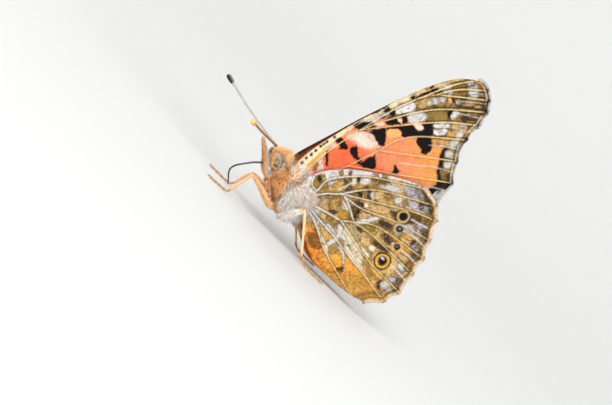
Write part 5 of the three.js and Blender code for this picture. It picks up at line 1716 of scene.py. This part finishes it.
def palp(side_name, stem_material, hair_material):
    """A stem beside the tongue's root under hair that is golden outside and white inside."""
    stem = sweep(from_head(PALP_LINE), stations_through(PALP_STATIONS, 40), 16,
                 lambda share, turn: tone(226, 166, 98))
    if side_name == "right":
        stem = mirrored(stem)
    points, faces, colours = stem
    piece = add_piece("palp_" + side_name + "_stem", points, faces, stem_material, colours)
    settle(piece, "palp_" + side_name, slot="tan_hair")
    roots, normals = skin_samples(piece, 150, 91)
    count = len(roots)
    along = from_head([PALP_LINE[-1]])[0] - from_head([PALP_LINE[1]])[0]
    outward = 0.35 if side_name == "left" else -0.35
    inner = normals @ np.array([outward, math.cos(HEAD_TILT), math.sin(HEAD_TILT)])
    tip = blend(tone(244, 182, 112), WHITE, ease(0.1 + 1.6 * inner)[:, None])
    share = np.clip((roots[:, 2] - roots[:, 2].min()) / np.ptp(roots[:, 2]), 0, 1)
    turn = np.arctan2(normals[:, 1], normals[:, 0]) / (2 * math.pi) + 0.5
    unwrap = np.column_stack([0.02 + 0.96 * turn, 0.02 + 0.96 * share])
    made = tufts(roots, normals, np.tile(along, (count, 1)), np.full(count, 0.5), np.full(count, 0.055),
                 tip * 0.75, tip, unwrap, 92)
    coat_piece("palp_" + side_name + "_hair", [made], hair_material, "tan_hair")


TONGUE_LINE = [(0, -6.95, 5.65), (0, -7.6, 6.2), (0, -8.85, 5.3), (0, -9.8, 4.15), (0, -10.0, 3.9),
               (0, -10.6, 2.9), (0, -10.6, 2.0), (0, -9.7, 0.95), (0, -9.3, 0.5)]


def tongue(material):
    """A thin ringed tube that tapers to its tip, dark with a grey top up to the bend."""
    rings = 160
    stations = [(0, 0.14, 0.14)]
    for k in range(rings + 1):
        share = k / rings
        ripple = 0.008 * math.cos(k * 1.9)
        stations.append((0.02 + 0.96 * share, 0.15 - 0.05 * share + ripple, 0.16 - 0.06 * share))
    stations.append((1, 0.06, 0.06))

    def colour_at(share, turn):
        return tone(48, 40, 38) + tone(124, 112, 118) * max(0.0, math.sin(turn)) * (share < 0.55)

    points, faces, colours = sweep(TONGUE_LINE, stations, 16, colour_at)
    piece = add_piece("proboscis", points, faces, material, colours)
    settle(piece, "proboscis_base", "proboscis_tip", slot="horn")


# Making

build_wing("forewing", FOREWING, FORE_CREASES, forewing_place, FORE_SHIFT,
           paint_forewing_under, paint_forewing_upper, wing_scale_finish("forewing_scale_dust", 700))
build_wing("hindwing", HINDWING, HIND_CREASES, hindwing_place, HIND_SHIFT,
           paint_hindwing_under, paint_hindwing_upper, wing_scale_finish("hindwing_scale_dust", 900))

hair = hair_finish("soft_hair", 0.5)
limb_scales = scaled_limb_finish("limb_scales", 0.45)
hide = body_skin(skin_finish())
settle(hide, "head", "thorax", "abdomen", "foreleg_left", "foreleg_right", "leg_mid_left_hip",
       "leg_mid_right_hip", "leg_hind_left_hip", "leg_hind_right_hip", slot="tan_hair")
body_coat(hide, hair)

wing_fringe("forewing", FOREWING, forewing_place, FORE_SHIFT, 0.3, UMBER, WHITE, hair, 101)
wing_fringe("hindwing", HINDWING, hindwing_place, HIND_SHIFT, 0.28, BROWN, tone(236, 214, 178), hair, 111)
wing_root_hair("hindwing", hindwing_place, HIND_SHIFT, (2.0, -0.5), 1.6, 800, (0.0, 0.0), hair, 121)
wing_root_hair("forewing", forewing_place, FORE_SHIFT, (0.4, 0.6), 1.5, 420, (-0.4, -1.2), hair, 131)
eye_ring(hair)

eye_facets = eye_finish()
eye("left", eye_facets)
eye("right", eye_facets)
palp("left", limb_scales, hair)
palp("right", limb_scales, hair)
antenna("antenna_left", [(0.6, -8.75, 8.95), (4.63, -12.72, 9.3), (9.3, -16.4, 9.85)], True, limb_scales)
antenna("antenna_right", [(-0.6, -8.75, 8.95), (-3.95, -13.24, 9.54), (-8.6, -17.95, 10.55)], False,
        limb_scales)
tongue(scaled_limb_finish("dark_horn", 0.25))

spine_horn = spine_finish()
limb_spines = spine_tree(spine_horn)
for number, (leg_name, lines) in enumerate(LEGS.items()):
    leg(leg_name, lines, limb_scales)
    thigh_hair(leg_name, lines["thigh"], hair, 400 + number)
    spines(leg_name + "_shin_spines", lines["shin"][1:], limb_spines, spine_horn, 46, 0.46, 200 + number)
    spines(leg_name + "_foot_spines", lines["foot"][1:], limb_spines, spine_horn, 44, 0.3, 300 + number)

studio_floor()
studio_light()
photo_camera()
bpy.context.scene.view_settings.view_transform = "Standard"
